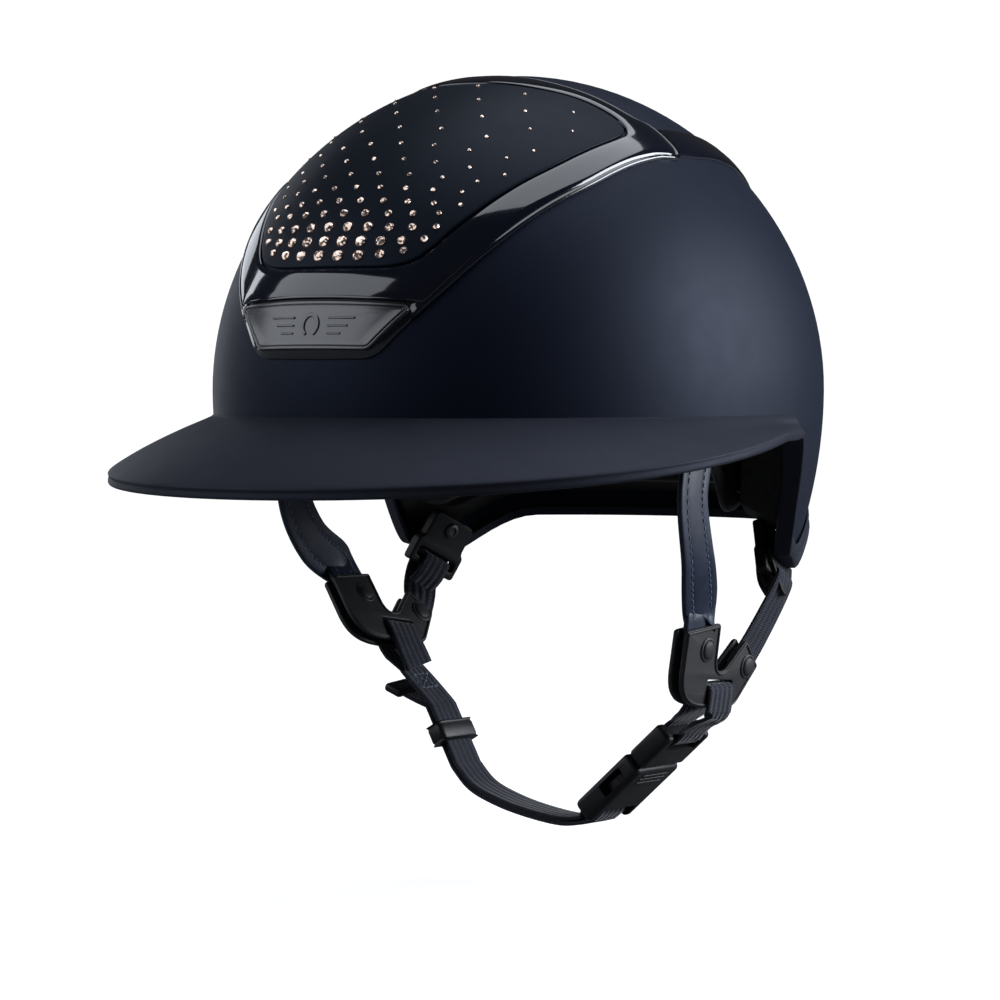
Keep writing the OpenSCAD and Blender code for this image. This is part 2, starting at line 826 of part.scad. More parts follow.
module buckle_prong(s) {
    color([0.12, 0.12, 0.13])
        at_buckle() {
            difference() {
                linear_extrude(height = 3.8, center = true)
                    polygon([for (p = prong_outline) [p.x, p.y * s]]);
                translate([prong_pivot.x, prong_pivot.y * s, 0])
                    cylinder(h = 8, r = 2.6, center = true);
            }
            translate([prong_pivot.x, prong_pivot.y * s, 0])
                difference() {
                    cylinder(h = 3.8, r = 3, center = true);
                    cylinder(h = 8, r = 1.25, center = true);
                }
        }
}

module buckle_prong_front() {
    buckle_prong(-1);
}

module buckle_prong_rear() {
    buckle_prong(1);
}

// Half of the buckle that carries the prongs and the loop.
module buckle_plug() {
    color([0.10, 0.10, 0.11])
        at_buckle() {
            difference() {
                translate([15.6, 0, 0])
                    cube([18.4, 29, 8.4], center = true);
                translate([10, 0, 0])
                    cube([9, 23.4, 4.6], center = true);
                translate([19.4, 0, 0])
                    cube([4.8, 22, 20], center = true);
                for (e = [-1, 1])
                    translate([23, 0, e * 12])
                        cube([8, 22, 20], center = true);
            }
            for (s = [-1, 1])
                translate([prong_pivot.x, s * prong_pivot.y, 0])
                    cylinder(h = 5, r = 1.2, center = true);
        }
}

// ---------- chin webbing ----------

keeper_run = unit([0.5, -0.04, -0.866]);
keeper_side = unit(cross([0, 1, 0], keeper_run));
keeper_place = [-51, 24, -123];
layer = web_wall + 0.5;

// Upper layer of the chin strap: straight where the keeper slides, then round under the chin.
chin_head = [[-71.5, 22.5, -98.4], [-64.5, 23.6, -105.2], keeper_place - keeper_run * 12];
chin_body = [keeper_place + keeper_run * 14, [-35.5, 22.8, -142.6], [-22, 22, -147.6], [-7, 21, -150.8],
    [8, 20.4, -152.6], buckle_point([-31, 0, 1])];
chin_main = concat(curve(chin_head, 3), curve(chin_body, 3));

// The lower layer follows the upper one, moved along its flat side.
function under(path) = [for (k = [0:len(path) - 1])
    let (run = unit(path[min(k + 1, len(path) - 1)] - path[max(k - 1, 0)]))
    path[k] + unit(cross([0, 1, 0], run)) * layer];

// Round the divider's lower bar, down the keeper, round the socket's bar and back to the loose end.
// Each point goes with the direction that its width runs along.
module chin_strap() {
    slot_wide = divider_dir(-1, [0, 1, 0]);
    fold = concat(
        [[-66.9, 22.2, -97.9]],
        [for (p = [[4.1, -8.8], [4.1, 0.3], [2.7, 1.8], [-2.7, 1.8], [-4, 0.3], [-4, -8.5]])
            divider_point(-1, [p.x, -0.5, p.y])]);
    wrap = [for (p = [[-27.6, 3], [-22.9, 3.2], [-20.6, 2], [-20.6, -2], [-22.9, -3.2], [-27.6, -3]])
        buckle_point([p.x, 0, p.y])];
    lower = under(chin_main);
    back = [for (k = [len(lower) - 1:-1:6]) lower[k]];
    tail = [[-64.4, 23.6, -111], [-69.8, 22.6, -108.6]];
    path = concat(fold, chin_main, wrap, back, tail);
    wide = [for (k = [0:len(path) - 1]) k < 8 ? slot_wide : k == 8 ? slot_wide + [0, 1, 0] : [0, 1, 0]];
    color([0.12, 0.13, 0.18])
        ribbon(path, web_width - 3.4, web_wall, wide);
}

module strap_end_cap() {
    color([0.10, 0.10, 0.11])
        ribbon([[-70.4, 22.5, -108.3], [-77.4, 21.4, -105.2]], web_width, 3.6);
}

module strap_keeper() {
    middle = keeper_place + keeper_side * layer / 2;
    color([0.10, 0.10, 0.11])
        difference() {
            ribbon([middle - keeper_run * 4, middle + keeper_run * 4], web_width + 2, 7.2);
            ribbon([middle - keeper_run * 9, middle + keeper_run * 9], web_width - 2.6, 4.4);
        }
}

// Webbing loop between the left divider and the plug.
module buckle_loop() {
    path = concat(
        [for (p = [[4.1, -6.5], [4, 0.3], [2.7, 1.8], [-2.7, 1.8], [-4.6, 0.3], [-6, -7]])
            divider_point(1, [p.x, -0.5, p.y])],
        [for (p = [[29, 2.6], [24.6, 3.6], [21.4, 3.3], [19.2, 1.7], [19.2, -1.7], [21.4, -3.3],
                   [24.6, -3.6], [29, -3.4]])
            buckle_point([p.x, 0, p.y])],
        [for (p = [[2.2, -11.4], [4.3, -7.6]])
            divider_point(1, [p.x, -0.5, p.y])]);
    color([0.12, 0.14, 0.20])
        ribbon(path, web_width - 3.4, web_wall);
}

// ---------- drawing ----------

outer_shell();
brim();
gloss_frame();
rear_frame();
front_panel();
crystals_large();
crystals_medium();
crystals_small();
badge_plate();
badge_emblem();
intake_insert();
rear_louvres();
foam_liner();
brow_pad();
crown_pad();
side_pad_left();
side_pad_right();
hook_dots();
rear_cradle();
nape_pad();
cradle_pins();
front_anchor_left();
front_anchor_right();
anchor_rivets();
rear_clip_left();
rear_clip_right();
rear_clip_screws();
front_strap_left();
front_strap_right();
rear_strap_left();
rear_strap_right();
divider_outer_left();
divider_inner_left();
divider_outer_right();
divider_inner_right();
divider_rivets();
chin_strap();
strap_end_cap();
strap_keeper();
buckle_socket();
buckle_plug();
buckle_prong_front();
buckle_prong_rear();
buckle_loop();
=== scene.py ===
"""Looks of the riding helmet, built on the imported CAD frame.

Lengths in this script are millimetres and are turned into metres when a mesh is made.
-Y is the front of the helmet and +X the wearer's left.
"""

import math
import random

import bmesh
import bpy
from mathutils import Matrix, Vector


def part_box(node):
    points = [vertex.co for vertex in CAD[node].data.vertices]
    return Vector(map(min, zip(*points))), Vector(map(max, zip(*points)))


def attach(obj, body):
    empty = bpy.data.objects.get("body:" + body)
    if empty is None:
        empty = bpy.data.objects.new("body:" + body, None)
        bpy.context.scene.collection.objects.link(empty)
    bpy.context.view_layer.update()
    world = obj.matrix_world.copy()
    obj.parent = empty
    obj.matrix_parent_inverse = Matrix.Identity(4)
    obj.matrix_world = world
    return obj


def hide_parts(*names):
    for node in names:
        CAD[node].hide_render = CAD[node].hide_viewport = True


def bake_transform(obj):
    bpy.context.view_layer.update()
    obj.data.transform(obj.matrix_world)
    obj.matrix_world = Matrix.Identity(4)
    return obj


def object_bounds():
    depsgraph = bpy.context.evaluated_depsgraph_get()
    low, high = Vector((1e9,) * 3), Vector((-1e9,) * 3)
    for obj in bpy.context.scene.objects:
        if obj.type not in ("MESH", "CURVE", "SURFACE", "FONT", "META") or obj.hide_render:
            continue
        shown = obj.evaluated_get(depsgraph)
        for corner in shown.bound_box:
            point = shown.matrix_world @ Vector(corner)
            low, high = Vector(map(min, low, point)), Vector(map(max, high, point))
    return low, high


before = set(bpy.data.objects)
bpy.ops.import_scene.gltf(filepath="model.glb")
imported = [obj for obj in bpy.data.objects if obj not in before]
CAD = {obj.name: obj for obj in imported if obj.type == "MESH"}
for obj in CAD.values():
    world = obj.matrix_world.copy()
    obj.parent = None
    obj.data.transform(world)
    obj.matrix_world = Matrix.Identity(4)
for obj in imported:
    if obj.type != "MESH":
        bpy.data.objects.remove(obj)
cad_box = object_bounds()
MM = 0.001


# ---------------------------------------------------------------- the dome that every skin follows


def box_mm(node):
    """Lowest and highest corner of a CAD node, in millimetres."""
    low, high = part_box(node)
    return Vector(low) / MM, Vector(high) / MM


shell_low, shell_high = box_mm("outer_shell")
HALF_LENGTH = (shell_high.y - shell_low.y) / 2
HALF_WIDTH = (shell_high.x - shell_low.x) / 2
EQUATOR = 12.5
RISE = shell_high.z - EQUATOR
FALL = 150.0
PLAN_POWER = 2.15
SIDE_POWER = 1.96
SHELL_WALL = 2.6
FRAME_LOW = 0.25
PANEL_HIGH = 1.2


def smooth(a, b, x):
    """0 before a, 1 after b, eased between."""
    t = max(0.0, min(1.0, (x - a) / (b - a)))
    return t * t * (3 - 2 * t)


def mix(a, b, t):
    return a + (b - a) * t


def gauge(d):
    """How far a direction has to be scaled down to land on the shell."""
    plan = (abs(d.x) / HALF_WIDTH) ** PLAN_POWER + (abs(d.y) / HALF_LENGTH) ** PLAN_POWER
    side = (abs(d.z) / (RISE if d.z > 0 else FALL)) ** SIDE_POWER
    return (plan ** (SIDE_POWER / PLAN_POWER) + side) ** (1 / SIDE_POWER)


def dome(d, off=0.0):
    """Point on the shell in direction d, moved outward by off."""
    u = d.normalized()
    return Vector((0, 0, EQUATOR)) + u * (1 / gauge(u) + off)


def turn_dir(turn, lift):
    """Direction that goes round from the front by turn and up by lift, in degrees."""
    t, e = math.radians(turn), math.radians(lift)
    return Vector((math.sin(t) * math.cos(e), -math.cos(t) * math.cos(e), math.sin(e)))


def lat_dir(lat, roll):
    """Direction that leans to the left by lat and rolls from the front over the top by roll."""
    a, r = math.radians(lat), math.radians(roll)
    return Vector((math.sin(a), -math.cos(a) * math.cos(r), math.cos(a) * math.sin(r)))


def on_lat(lat, roll, off=0.0):
    return dome(lat_dir(lat, roll), off)


def dome_normal(lat, roll):
    across = on_lat(lat + 0.5, roll) - on_lat(lat - 0.5, roll)
    over = on_lat(lat, roll + 0.5) - on_lat(lat, roll - 0.5)
    return across.cross(over).normalized()


def lift_at(turn, z):
    """Lift angle at which the shell passes a height."""
    reach = 1 / gauge(turn_dir(turn, 0))
    return math.degrees(math.atan((z - EQUATOR) / (reach - max(0.0, -z) * 0.1)))


def wall_point(turn, z, off=0.0):
    return dome(turn_dir(turn, lift_at(turn, z)), off)


BROW_RIM = -2.0
SKIRT = 44.0


def rim_z(turn):
    """Lower edge of the shell: level round the brow, then down into the rear skirt."""
    t = abs(turn)
    return BROW_RIM - SKIRT * smooth(106.5, 116, t) - 7 * smooth(114, 127, t) + 17 * smooth(122, 147, t)


def even_turns():
    """Turn angles all the way round, closer together at the ear cuts."""
    half = [2.5 * k for k in range(42)]
    half += [105 + 0.5 * k for k in range(1, 29)]
    half += [119.5 + 2.5 * k for k in range(1, 25)]
    return half + [180.0] + [-t for t in reversed(half[1:])]


TURNS = even_turns()


# ---------------------------------------------------------------- mesh helpers


def link(obj):
    """Puts an object in the scene."""
    bpy.context.scene.collection.objects.link(obj)
    return obj


def to_object(name, bm, scale=1.0):
    """Turns a bmesh into an object in the scene."""
    bmesh.ops.recalc_face_normals(bm, faces=bm.faces)
    bmesh.ops.scale(bm, vec=(scale, scale, scale), verts=bm.verts)
    mesh = bpy.data.meshes.new(name)
    bm.to_mesh(mesh)
    bm.free()
    return link(bpy.data.objects.new(name, mesh))


def finish_mesh(name, bm, material, body="helmet", replaces=(), flat=False, sharp=40):
    """Turns a bmesh in millimetres into an object that rides on a body."""
    obj = to_object(name, bm, MM)
    if not flat:
        obj.data.shade_smooth()
        obj.data.set_sharp_from_angle(angle=math.radians(sharp))
    obj.data.materials.append(material)
    if replaces:
        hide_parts(*replaces)
    if body:
        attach(obj, body)
    return obj


def add_grid(bm, rows, wrap=False, tip=None):
    """Adds a grid of points as quads; wrap joins the last column to the first; tip closes the last row."""
    verts = [[bm.verts.new(p) for p in row] for row in rows]
    cols = len(rows[0])
    last = cols if wrap else cols - 1
    for i in range(len(rows) - 1):
        for j in range(last):
            k = (j + 1) % cols
            bm.faces.new((verts[i][j], verts[i][k], verts[i + 1][k], verts[i + 1][j]))
    if tip is not None:
        top = bm.verts.new(tip)
        for j in range(last):
            bm.faces.new((verts[-1][j], verts[-1][(j + 1) % cols], top))
    return verts


def join_rows(bm, row_a, row_b, wrap=False):
    """Joins two rows of vertices with quads."""
    count = len(row_a)
    for j in range(count if wrap else count - 1):
        k = (j + 1) % count
        bm.faces.new((row_a[j], row_b[j], row_b[k], row_a[k]))


def add_solid(bm, rings):
    """Adds a solid through rings of points, capped at both ends."""
    verts = add_grid(bm, rings, wrap=True)
    bm.faces.new(verts[0])
    bm.faces.new(verts[-1])


def turn_over(rows):
    """A grid with its rows made into columns."""
    return [list(column) for column in zip(*rows)]


def evenly(a, b, steps):
    """Values from a to b in even steps, both ends included."""
    return [mix(a, b, k / steps) for k in range(steps + 1)]


def circle(radius, z=0.0, count=32, turn=0.0):
    """Points evenly round a circle at height z."""
    angles = [math.tau * (k + turn) / count for k in range(count)]
    return [Vector((radius * math.cos(a), radius * math.sin(a), z)) for a in angles]


def skin(name, outer, inner, material, wrap=False, tips=(None, None), **options):
    """Closed wall between two grids of points."""
    bm = bmesh.new()
    a = add_grid(bm, outer, wrap, tips[0])
    b = add_grid(bm, inner, wrap, tips[1])
    join_rows(bm, a[0], b[0], wrap)
    if tips[0] is None:
        join_rows(bm, a[-1], b[-1], wrap)
    if not wrap:
        join_rows(bm, [r[0] for r in a], [r[0] for r in b])
        join_rows(bm, [r[-1] for r in a], [r[-1] for r in b])
    return finish_mesh(name, bm, material, **options)


def ring_sweep(name, sections, material, closed=True, **options):
    """Solid swept through closed sections."""
    bm = bmesh.new()
    rings = [[bm.verts.new(p) for p in s] for s in sections]
    pairs = list(zip(rings, rings[1:])) + ([(rings[-1], rings[0])] if closed else [])
    for a, b in pairs:
        join_rows(bm, a, b, wrap=True)
    if not closed:
        bm.faces.new(rings[0])
        bm.faces.new(rings[-1])
    return finish_mesh(name, bm, material, **options)


def between(a, b, c, d, t):
    """Where a smooth curve through a, b, c and d is at t of the way from b to c."""
    bend = a * 2 - b * 5 + c * 4 - d
    return (b * 2 + (c - a) * t + bend * t * t + (b * 3 - a - c * 3 + d) * t**3) / 2


def spline(points, steps, closed=False):
    """Smooth curve through the given points, which can have any number of coordinates."""
    p = [Vector(q) for q in points]
    count = len(p)
    out = []
    for i in range(count if closed else count - 1):
        near = [i + k for k in (-1, 0, 1, 2)]
        four = [p[k % count] if closed else p[max(0, min(k, count - 1))] for k in near]
        out += [between(*four, s / steps) for s in range(steps)]
    return out if closed else out + [p[-1]]


def distances(points):
    """How far along the run of points each one is."""
    out = [0.0]
    for a, b in zip(points, points[1:]):
        out.append(out[-1] + (b - a).length)
    return out


def run_at(path, k):
    """Direction of a path at its point k."""
    return (path[min(k + 1, len(path) - 1)] - path[max(k - 1, 0)]).normalized()


def square_to(side, run):
    """The direction nearest to side that is square to run."""
    return (side - run * side.dot(run)).normalized()


def both_sides(stem):
    """Sign and name of the left and right piece."""
    return ((1, stem + "_left"), (-1, stem + "_right"))


# ---------------------------------------------------------------- materials


class Paint:
    """A procedural material: a Principled shader with noise-driven colour, roughness and bump."""

    def __init__(self, name, color, roughness, **sockets):
        self.material = bpy.data.materials.new(name)
        self.material.use_nodes = True
        self.nodes = self.material.node_tree.nodes
        self.links = self.material.node_tree.links
        self.shader = self.nodes["Principled BSDF"]
        self.feed(self.shader, Base_Color=(*color, 1), Roughness=roughness, **sockets)
        self.place = self.nodes.new("ShaderNodeTexCoord").outputs["Object"]
        self.color = color
        self.bump = None

    def feed(self, node, **inputs):
        """Sets inputs of a node, each to a value or to another node's output."""
        for socket, value in inputs.items():
            self.plug(node.inputs[socket.replace("_", " ")], value)

    def plug(self, target, value):
        if isinstance(value, bpy.types.NodeSocket):
            self.links.new(value, target)
        else:
            target.default_value = value

    def add(self, kind, **inputs):
        node = self.nodes.new(kind)
        self.feed(node, **inputs)
        return node

    def calculate(self, operation, *values):
        """Result of a sum on values or outputs."""
        node = self.nodes.new("ShaderNodeMath")
        node.operation = operation
        for target, value in zip(node.inputs, values):
            self.plug(target, value)
        return node.outputs[0]

    def noise(self, size_mm, detail=3.0):
        """Noise whose features are about size_mm across."""
        scale = 1 / (size_mm * MM)
        return self.add("ShaderNodeTexNoise", Vector=self.place, Scale=scale, Detail=detail).outputs["Fac"]

    def cells(self, size_mm, **inputs):
        """Cell pattern whose cells are about size_mm across."""
        return self.add("ShaderNodeTexVoronoi", Vector=self.place, Scale=1 / (size_mm * MM), **inputs)

    def vary_color(self, factor, low, high):
        """Base colour from low to high times the plain one, driven by factor."""
        ramp = self.add("ShaderNodeValToRGB", Fac=factor)
        for element, position, share in zip(ramp.color_ramp.elements, (0.3, 0.7), (low, high)):
            element.position = position
            element.color = (*[c * share for c in self.color], 1)
        self.feed(self.shader, Base_Color=ramp.outputs[0])

    def vary_roughness(self, factor, low, high):
        span = self.add("ShaderNodeMapRange", Value=factor, To_Min=low, To_Max=high)
        self.feed(self.shader, Roughness=span.outputs[0])

    def emboss(self, height, depth_mm, strength=1.0):
        """Adds a bump layer; layers stack."""
        bump = self.add("ShaderNodeBump", Height=height, Strength=strength, Distance=depth_mm * MM)
        if self.bump:
            self.feed(bump, Normal=self.bump)
        self.bump = bump.outputs[0]
        self.feed(self.shader, Normal=self.bump)


def soft_touch(name, color, roughness, depth=0.012):
    """Matte soft-touch coating with a faint orange peel and slow changes of tone."""
    paint = Paint(name, color, roughness, Specular_IOR_Level=0.22, Specular_Tint=(0.55, 0.66, 1, 1))
    paint.vary_color(paint.noise(38, 4), 0.90, 1.10)
    paint.vary_roughness(paint.noise(9, 4), roughness - 0.04, roughness + 0.05)
    paint.emboss(paint.noise(0.55, 2), depth)
    return paint.material


def lacquer(name, color, roughness=0.06):
    """Deep gloss lacquer under a clear coat."""
    paint = Paint(name, color, roughness, Coat_Weight=1.0, Coat_Roughness=0.03, Specular_IOR_Level=0.6)
    paint.vary_color(paint.noise(26, 3), 0.85, 1.15)
    paint.vary_roughness(paint.noise(5, 5), roughness, roughness + 0.07)
    paint.emboss(paint.noise(9, 1), 0.02, 0.5)
    return paint.material


def moulded(name, color, roughness):
    """Moulded nylon: fine spark-eroded grain, handled spots slightly shinier."""
    paint = Paint(name, color, roughness, Specular_IOR_Level=0.45)
    paint.vary_color(paint.noise(14, 4), 0.85, 1.18)
    paint.vary_roughness(paint.noise(4, 4), roughness - 0.08, roughness + 0.08)
    paint.emboss(paint.noise(0.35, 3), 0.02)
    return paint.material


def satin(name, color, roughness):
    """Satin metallic lacquer under a soft clear coat."""
    paint = Paint(name, color, roughness, Coat_Weight=0.8, Coat_Roughness=0.2, Specular_IOR_Level=0.9)
    paint.vary_color(paint.noise(11, 4), 0.9, 1.12)
    paint.vary_roughness(paint.noise(3, 4), roughness - 0.04, roughness + 0.06)
    paint.emboss(paint.noise(0.4, 2), 0.004)
    return paint.material


def foam(name, color):
    """Expanded foam: packed beads."""
    paint = Paint(name, color, 0.75)
    beads = paint.cells(3.2)
    paint.vary_color(beads.outputs["Distance"], 1.25, 0.75)
    paint.emboss(beads.outputs["Distance"], 0.25, 0.6)
    paint.emboss(paint.noise(0.6, 2), 0.04)
    return paint.material


def mesh_fabric(name, color, cell=1.6):
    """Wicking fabric with a knitted cell pattern."""
    paint = Paint(name, color, 0.85, Sheen_Weight=0.35, Sheen_Roughness=0.4)
    cells = paint.cells(cell)
    cells.distance = "MANHATTAN"
    paint.vary_color(paint.noise(12, 4), 0.75, 1.3)
    paint.emboss(cells.outputs["Distance"], 0.35, 0.7)
    paint.emboss(paint.noise(0.4, 2), 0.05)
    return paint.material


def leather(name, color):
    """Grained leather with pebbles, pores and rubbed high spots."""
    paint = Paint(name, color, 0.44, Specular_IOR_Level=0.45, Coat_Weight=0.12, Coat_Roughness=0.35)
    pebbles = paint.cells(0.9, Randomness=0.9)
    pebbles.feature = "DISTANCE_TO_EDGE"
    paint.vary_color(paint.noise(7, 5), 0.8, 1.35)
    paint.vary_roughness(paint.noise(3, 4), 0.36, 0.54)
    paint.emboss(pebbles.outputs["Distance"], 0.10, 0.5)
    paint.emboss(paint.noise(0.35, 3), 0.03)
    return paint.material


def thread(name, color):
    """Sewing thread with a faint twist."""
    paint = Paint(name, color, 0.6, Sheen_Weight=0.4)
    paint.vary_color(paint.noise(1.2, 2), 0.8, 1.2)
    paint.emboss(paint.noise(0.25, 2), 0.05)
    return paint.material


def woven(name, color):
    """Webbing: lengthwise ribs with crosswise picks, laid out by the strap's own UV map in metres."""
    paint = Paint(name, color, 0.72, Sheen_Weight=0.45, Sheen_Roughness=0.35, Specular_IOR_Level=0.35)
    split = paint.add("ShaderNodeSeparateXYZ", Vector=paint.add("ShaderNodeUVMap").outputs[0])

    def ridges(axis, pitch_mm, shift=0.0):
        """A wave across one axis of the strap, with one ridge every pitch_mm."""
        angle = paint.calculate("MULTIPLY", axis, math.tau / (pitch_mm * MM))
        return paint.calculate("SINE", paint.calculate("ADD", angle, shift))

    ribs = ridges(split.outputs[0], 3.1)
    picks = ridges(split.outputs[1], 0.9, paint.calculate("MULTIPLY", ribs, 1.4))
    paint.vary_color(paint.noise(6, 4), 0.8, 1.25)
    paint.vary_roughness(paint.noise(1.5, 3), 0.62, 0.82)
    paint.emboss(ribs, 0.22, 0.8)
    paint.emboss(picks, 0.09, 0.8)
    paint.emboss(paint.noise(0.3, 2), 0.03)
    return paint.material


def stone(name, color):
    """Foil-backed crystal: mirror-bright facets with a warm tint that changes from stone to stone, and
    painted glints: warm emission in noise patches makes some facets glow as if catching light.
    """
    paint = Paint(name, color, 0.05, Metallic=0.85, Coat_Weight=1.0, Coat_Roughness=0.02)
    paint.vary_color(paint.noise(2.2, 2), 0.75, 1.05)
    paint.vary_roughness(paint.noise(0.7, 2), 0.03, 0.12)
    # Painted glints: a noise mask lights patches of the stones with warm emission, so facets glow without any
    # lamp.
    painted_glint = paint.add("ShaderNodeMapRange", Value=paint.noise(1.2, 1), From_Min=0.50, From_Max=0.60,
                      To_Max=0.9)
    paint.feed(paint.shader, Emission_Color=(1.0, 0.80, 0.70, 1), Emission_Strength=painted_glint.outputs[0])
    return paint.material


def steel(name, color, roughness):
    """Plain steel, unevenly worn."""
    paint = Paint(name, color, roughness, Metallic=1.0)
    paint.vary_roughness(paint.noise(1.5, 3), roughness - 0.06, roughness + 0.1)
    paint.emboss(paint.noise(0.8, 3), 0.01)
    return paint.material


SHELL = soft_touch("shell_matte", (0.0125, 0.0165, 0.0320), 0.50)
BRIM = soft_touch("brim_matte", (0.0300, 0.0325, 0.0450), 0.55, 0.016)
PANEL = soft_touch("panel_matte", (0.0065, 0.0100, 0.0170), 0.50, 0.008)
GLOSS = lacquer("gloss_lacquer", (0.0045, 0.0065, 0.0180))
BADGE = satin("badge_satin", (0.050, 0.047, 0.062), 0.24)
BADGE_RELIEF = satin("badge_relief", (0.016, 0.015, 0.021), 0.22)
BLACK = moulded("black_plastic", (0.006, 0.006, 0.007), 0.5)
CHARCOAL = moulded("charcoal_plastic", (0.036, 0.036, 0.038), 0.50)
DARK_CHARCOAL = moulded("dark_charcoal_plastic", (0.014, 0.014, 0.016), 0.42)
LINER = foam("liner_foam", (0.010, 0.010, 0.011))
PAD = mesh_fabric("pad_fabric", (0.010, 0.010, 0.012))
NAPE = mesh_fabric("nape_fabric", (0.045, 0.045, 0.050))
HOOK = mesh_fabric("hook_tape", (0.02, 0.02, 0.02), 0.8)
# The crystal material carries painted glints: warm emission in noise patches, set in stone().
CRYSTAL = stone("crystal", (0.95, 0.74, 0.64))
SEAT = steel("stone_seat", (0.05, 0.04, 0.04), 0.35)
STEEL = steel("rivet_steel", (0.10, 0.10, 0.105), 0.38)
LEATHER = leather("strap_leather", (0.020, 0.031, 0.066))
STITCH = thread("stitching", (0.20, 0.27, 0.40))
WEBBING = woven("webbing", (0.026, 0.029, 0.048))


# ---------------------------------------------------------------- shell and brim


def shell_grid(off, lower, rows=44):
    """Grid of points from the rim to the crown, off the dome by off, its rim raised by lower."""
    grid = []
    for i in range(rows):
        row = []
        for turn in TURNS:
            low = lift_at(turn, rim_z(turn) + lower)
            row.append(dome(turn_dir(turn, mix(low, 86, i / (rows - 1))), off))
        grid.append(row)
    return grid


def make_shell():
    up = Vector((0, 0, 1))
    skin("shell_skin", shell_grid(0, 0), shell_grid(-SHELL_WALL, 0), SHELL, wrap=True,
         tips=(dome(up), dome(up, -SHELL_WALL)), replaces=["outer_shell"])


BRIM_REACH = 40.0
BRIM_DROP = 19.0


def reach_at(turn):
    return 2.4 + BRIM_REACH * math.sin(math.radians(90 * max(0, min(1, (112 - abs(turn)) / 100)))) ** 1.1


def drop_at(turn):
    return BRIM_DROP * max(0.0, math.cos(math.radians(min(90, abs(turn) * 0.98)))) ** 1.1


def brim_profile(reach, drop, foot):
    """Closed profile of the brim as (outward, up) pairs, smooth on top with a rounded lip."""
    corners = [
        (0.3, 5), (min(2, reach * 0.5), 3 + foot), (reach * 0.35 + 0.6, 1.6 - drop * 0.18),
        (reach * 0.7, 0.6 - drop * 0.55), (reach - 0.8, -0.3 - drop * 0.94), (reach, -1.6 - drop),
        (reach - 0.6, -3.2 - drop - foot), (reach * 0.75, -3.6 - drop * 0.8),
        (reach * 0.35, -4 - drop * 0.32 - foot),
        (-SHELL_WALL - 1.8, -4 - foot),
    ]
    curve = spline([(a, b, 0) for a, b in corners], 5)
    return [(p.x, p.y) for p in curve] + [(-SHELL_WALL - 1.8, -0.7), (0.3, -0.7)]


def brim_section(turn):
    z = rim_z(turn)
    foot = 1 - smooth(96, 112, abs(turn))
    t = math.radians(turn)
    outward = Vector((math.sin(t) / HALF_WIDTH, -math.cos(t) / HALF_LENGTH, 0)).normalized()
    section = []
    for out, up in brim_profile(reach_at(turn), drop_at(turn), foot):
        wall = wall_point(turn, z + max(up, -0.7))
        section.append(Vector((wall.x, wall.y, z + up)) + outward * out)
    return section


def make_brim():
    ring_sweep("brim_skin", [brim_section(t) for t in TURNS], BRIM, replaces=["brim"], sharp=50)


# ---------------------------------------------------------------- frame, panel, badge and stones

# Half of the frame, from the front centre over to the rear centre:
# lat and roll of the inner edge, then of the outer edge.
FRAME_HALF = [
    (0, 19.5, 0, 4.8), (6, 19.6, 6, 4.9), (11.5, 20.1, 11.5, 5.5), (15.6, 21.6, 15.6, 9.8),
    (18.2, 24.6, 20.6, 16), (19.8, 27.5, 24.2, 21.5), (22.2, 32, 28.6, 29.5), (26, 40, 33.3, 40.5),
    (29.9, 50, 37, 51.5), (31.9, 58.5, 38.6, 60.5), (33, 67, 39.5, 70.5), (33.2, 73.5, 39.9, 80),
    (32.6, 77, 39.7, 89.6), (31, 78.8, 32.3, 89.6), (28.4, 79.3, 29, 86.4), (24.6, 78.6, 24.9, 84.7),
    (20.5, 77.1, 20.5, 83.2), (12.5, 73.3, 12.5, 80.3), (0, 70.8, 0, 78),
]
# Half of the tails and their bow, from the frame back to the rear centre, in the same order.
TAIL_HALF = [
    (32.2, 90.2, 39.6, 90.2), (31.5, 98, 39, 98), (30.4, 106, 37.4, 106), (28.2, 116, 34.6, 116),
    (25, 126, 30.8, 126), (21, 135, 26.2, 136), (16.5, 142.5, 21, 145.5), (11, 149, 14.5, 154),
    (5.5, 152.5, 7, 159), (0, 153.5, 0, 160.5),
]
FRONT_STEP = 14.7
PANEL_MIDDLE = Vector((0, 48))
PANEL_RINGS = 26


def mirrored(half):
    """The half's points carried back along the other side, all but the first and last of them."""
    return half + [(-a, b, -c, d) for a, b, c, d in reversed(half[1:-1])]


FRAME_LOOP = spline(mirrored(FRAME_HALF), 8, closed=True)


def frame_stops(width, front):
    """Cross-section of the frame as (share of the way inward, height) pairs, from its outer edge."""
    crease = max(front, 2.2 / width)
    recess = smooth(0.2, 0.34, crease)
    lip = mix(1.35, 0.75, recess)
    low = mix(0.95, 0.7, recess)
    edge = 0.35 / width
    rise = min(0.9 / width, 0.1)
    rest = 1 - crease - rise
    stops = [(0, FRAME_LOW), (edge * 0.3, lip * 0.6), (edge, lip * 0.92), (crease * 0.35, lip),
             (crease * 0.7, lip), (crease * 0.9, low), (crease, low), (crease + rise * 0.25, 1.35),
             (crease + rise, 1.62)]
    stops += [(crease + rise + rest * t, 1.62 + 0.2 * math.sin(math.pi * t)) for t in (0.2, 0.4, 0.6, 0.8)]
    return stops + [(1 - 1.2 / width, 1.6), (1 - 0.5 / width, 1.45), (1 - 0.12 / width, 1.1), (1, FRAME_LOW)]


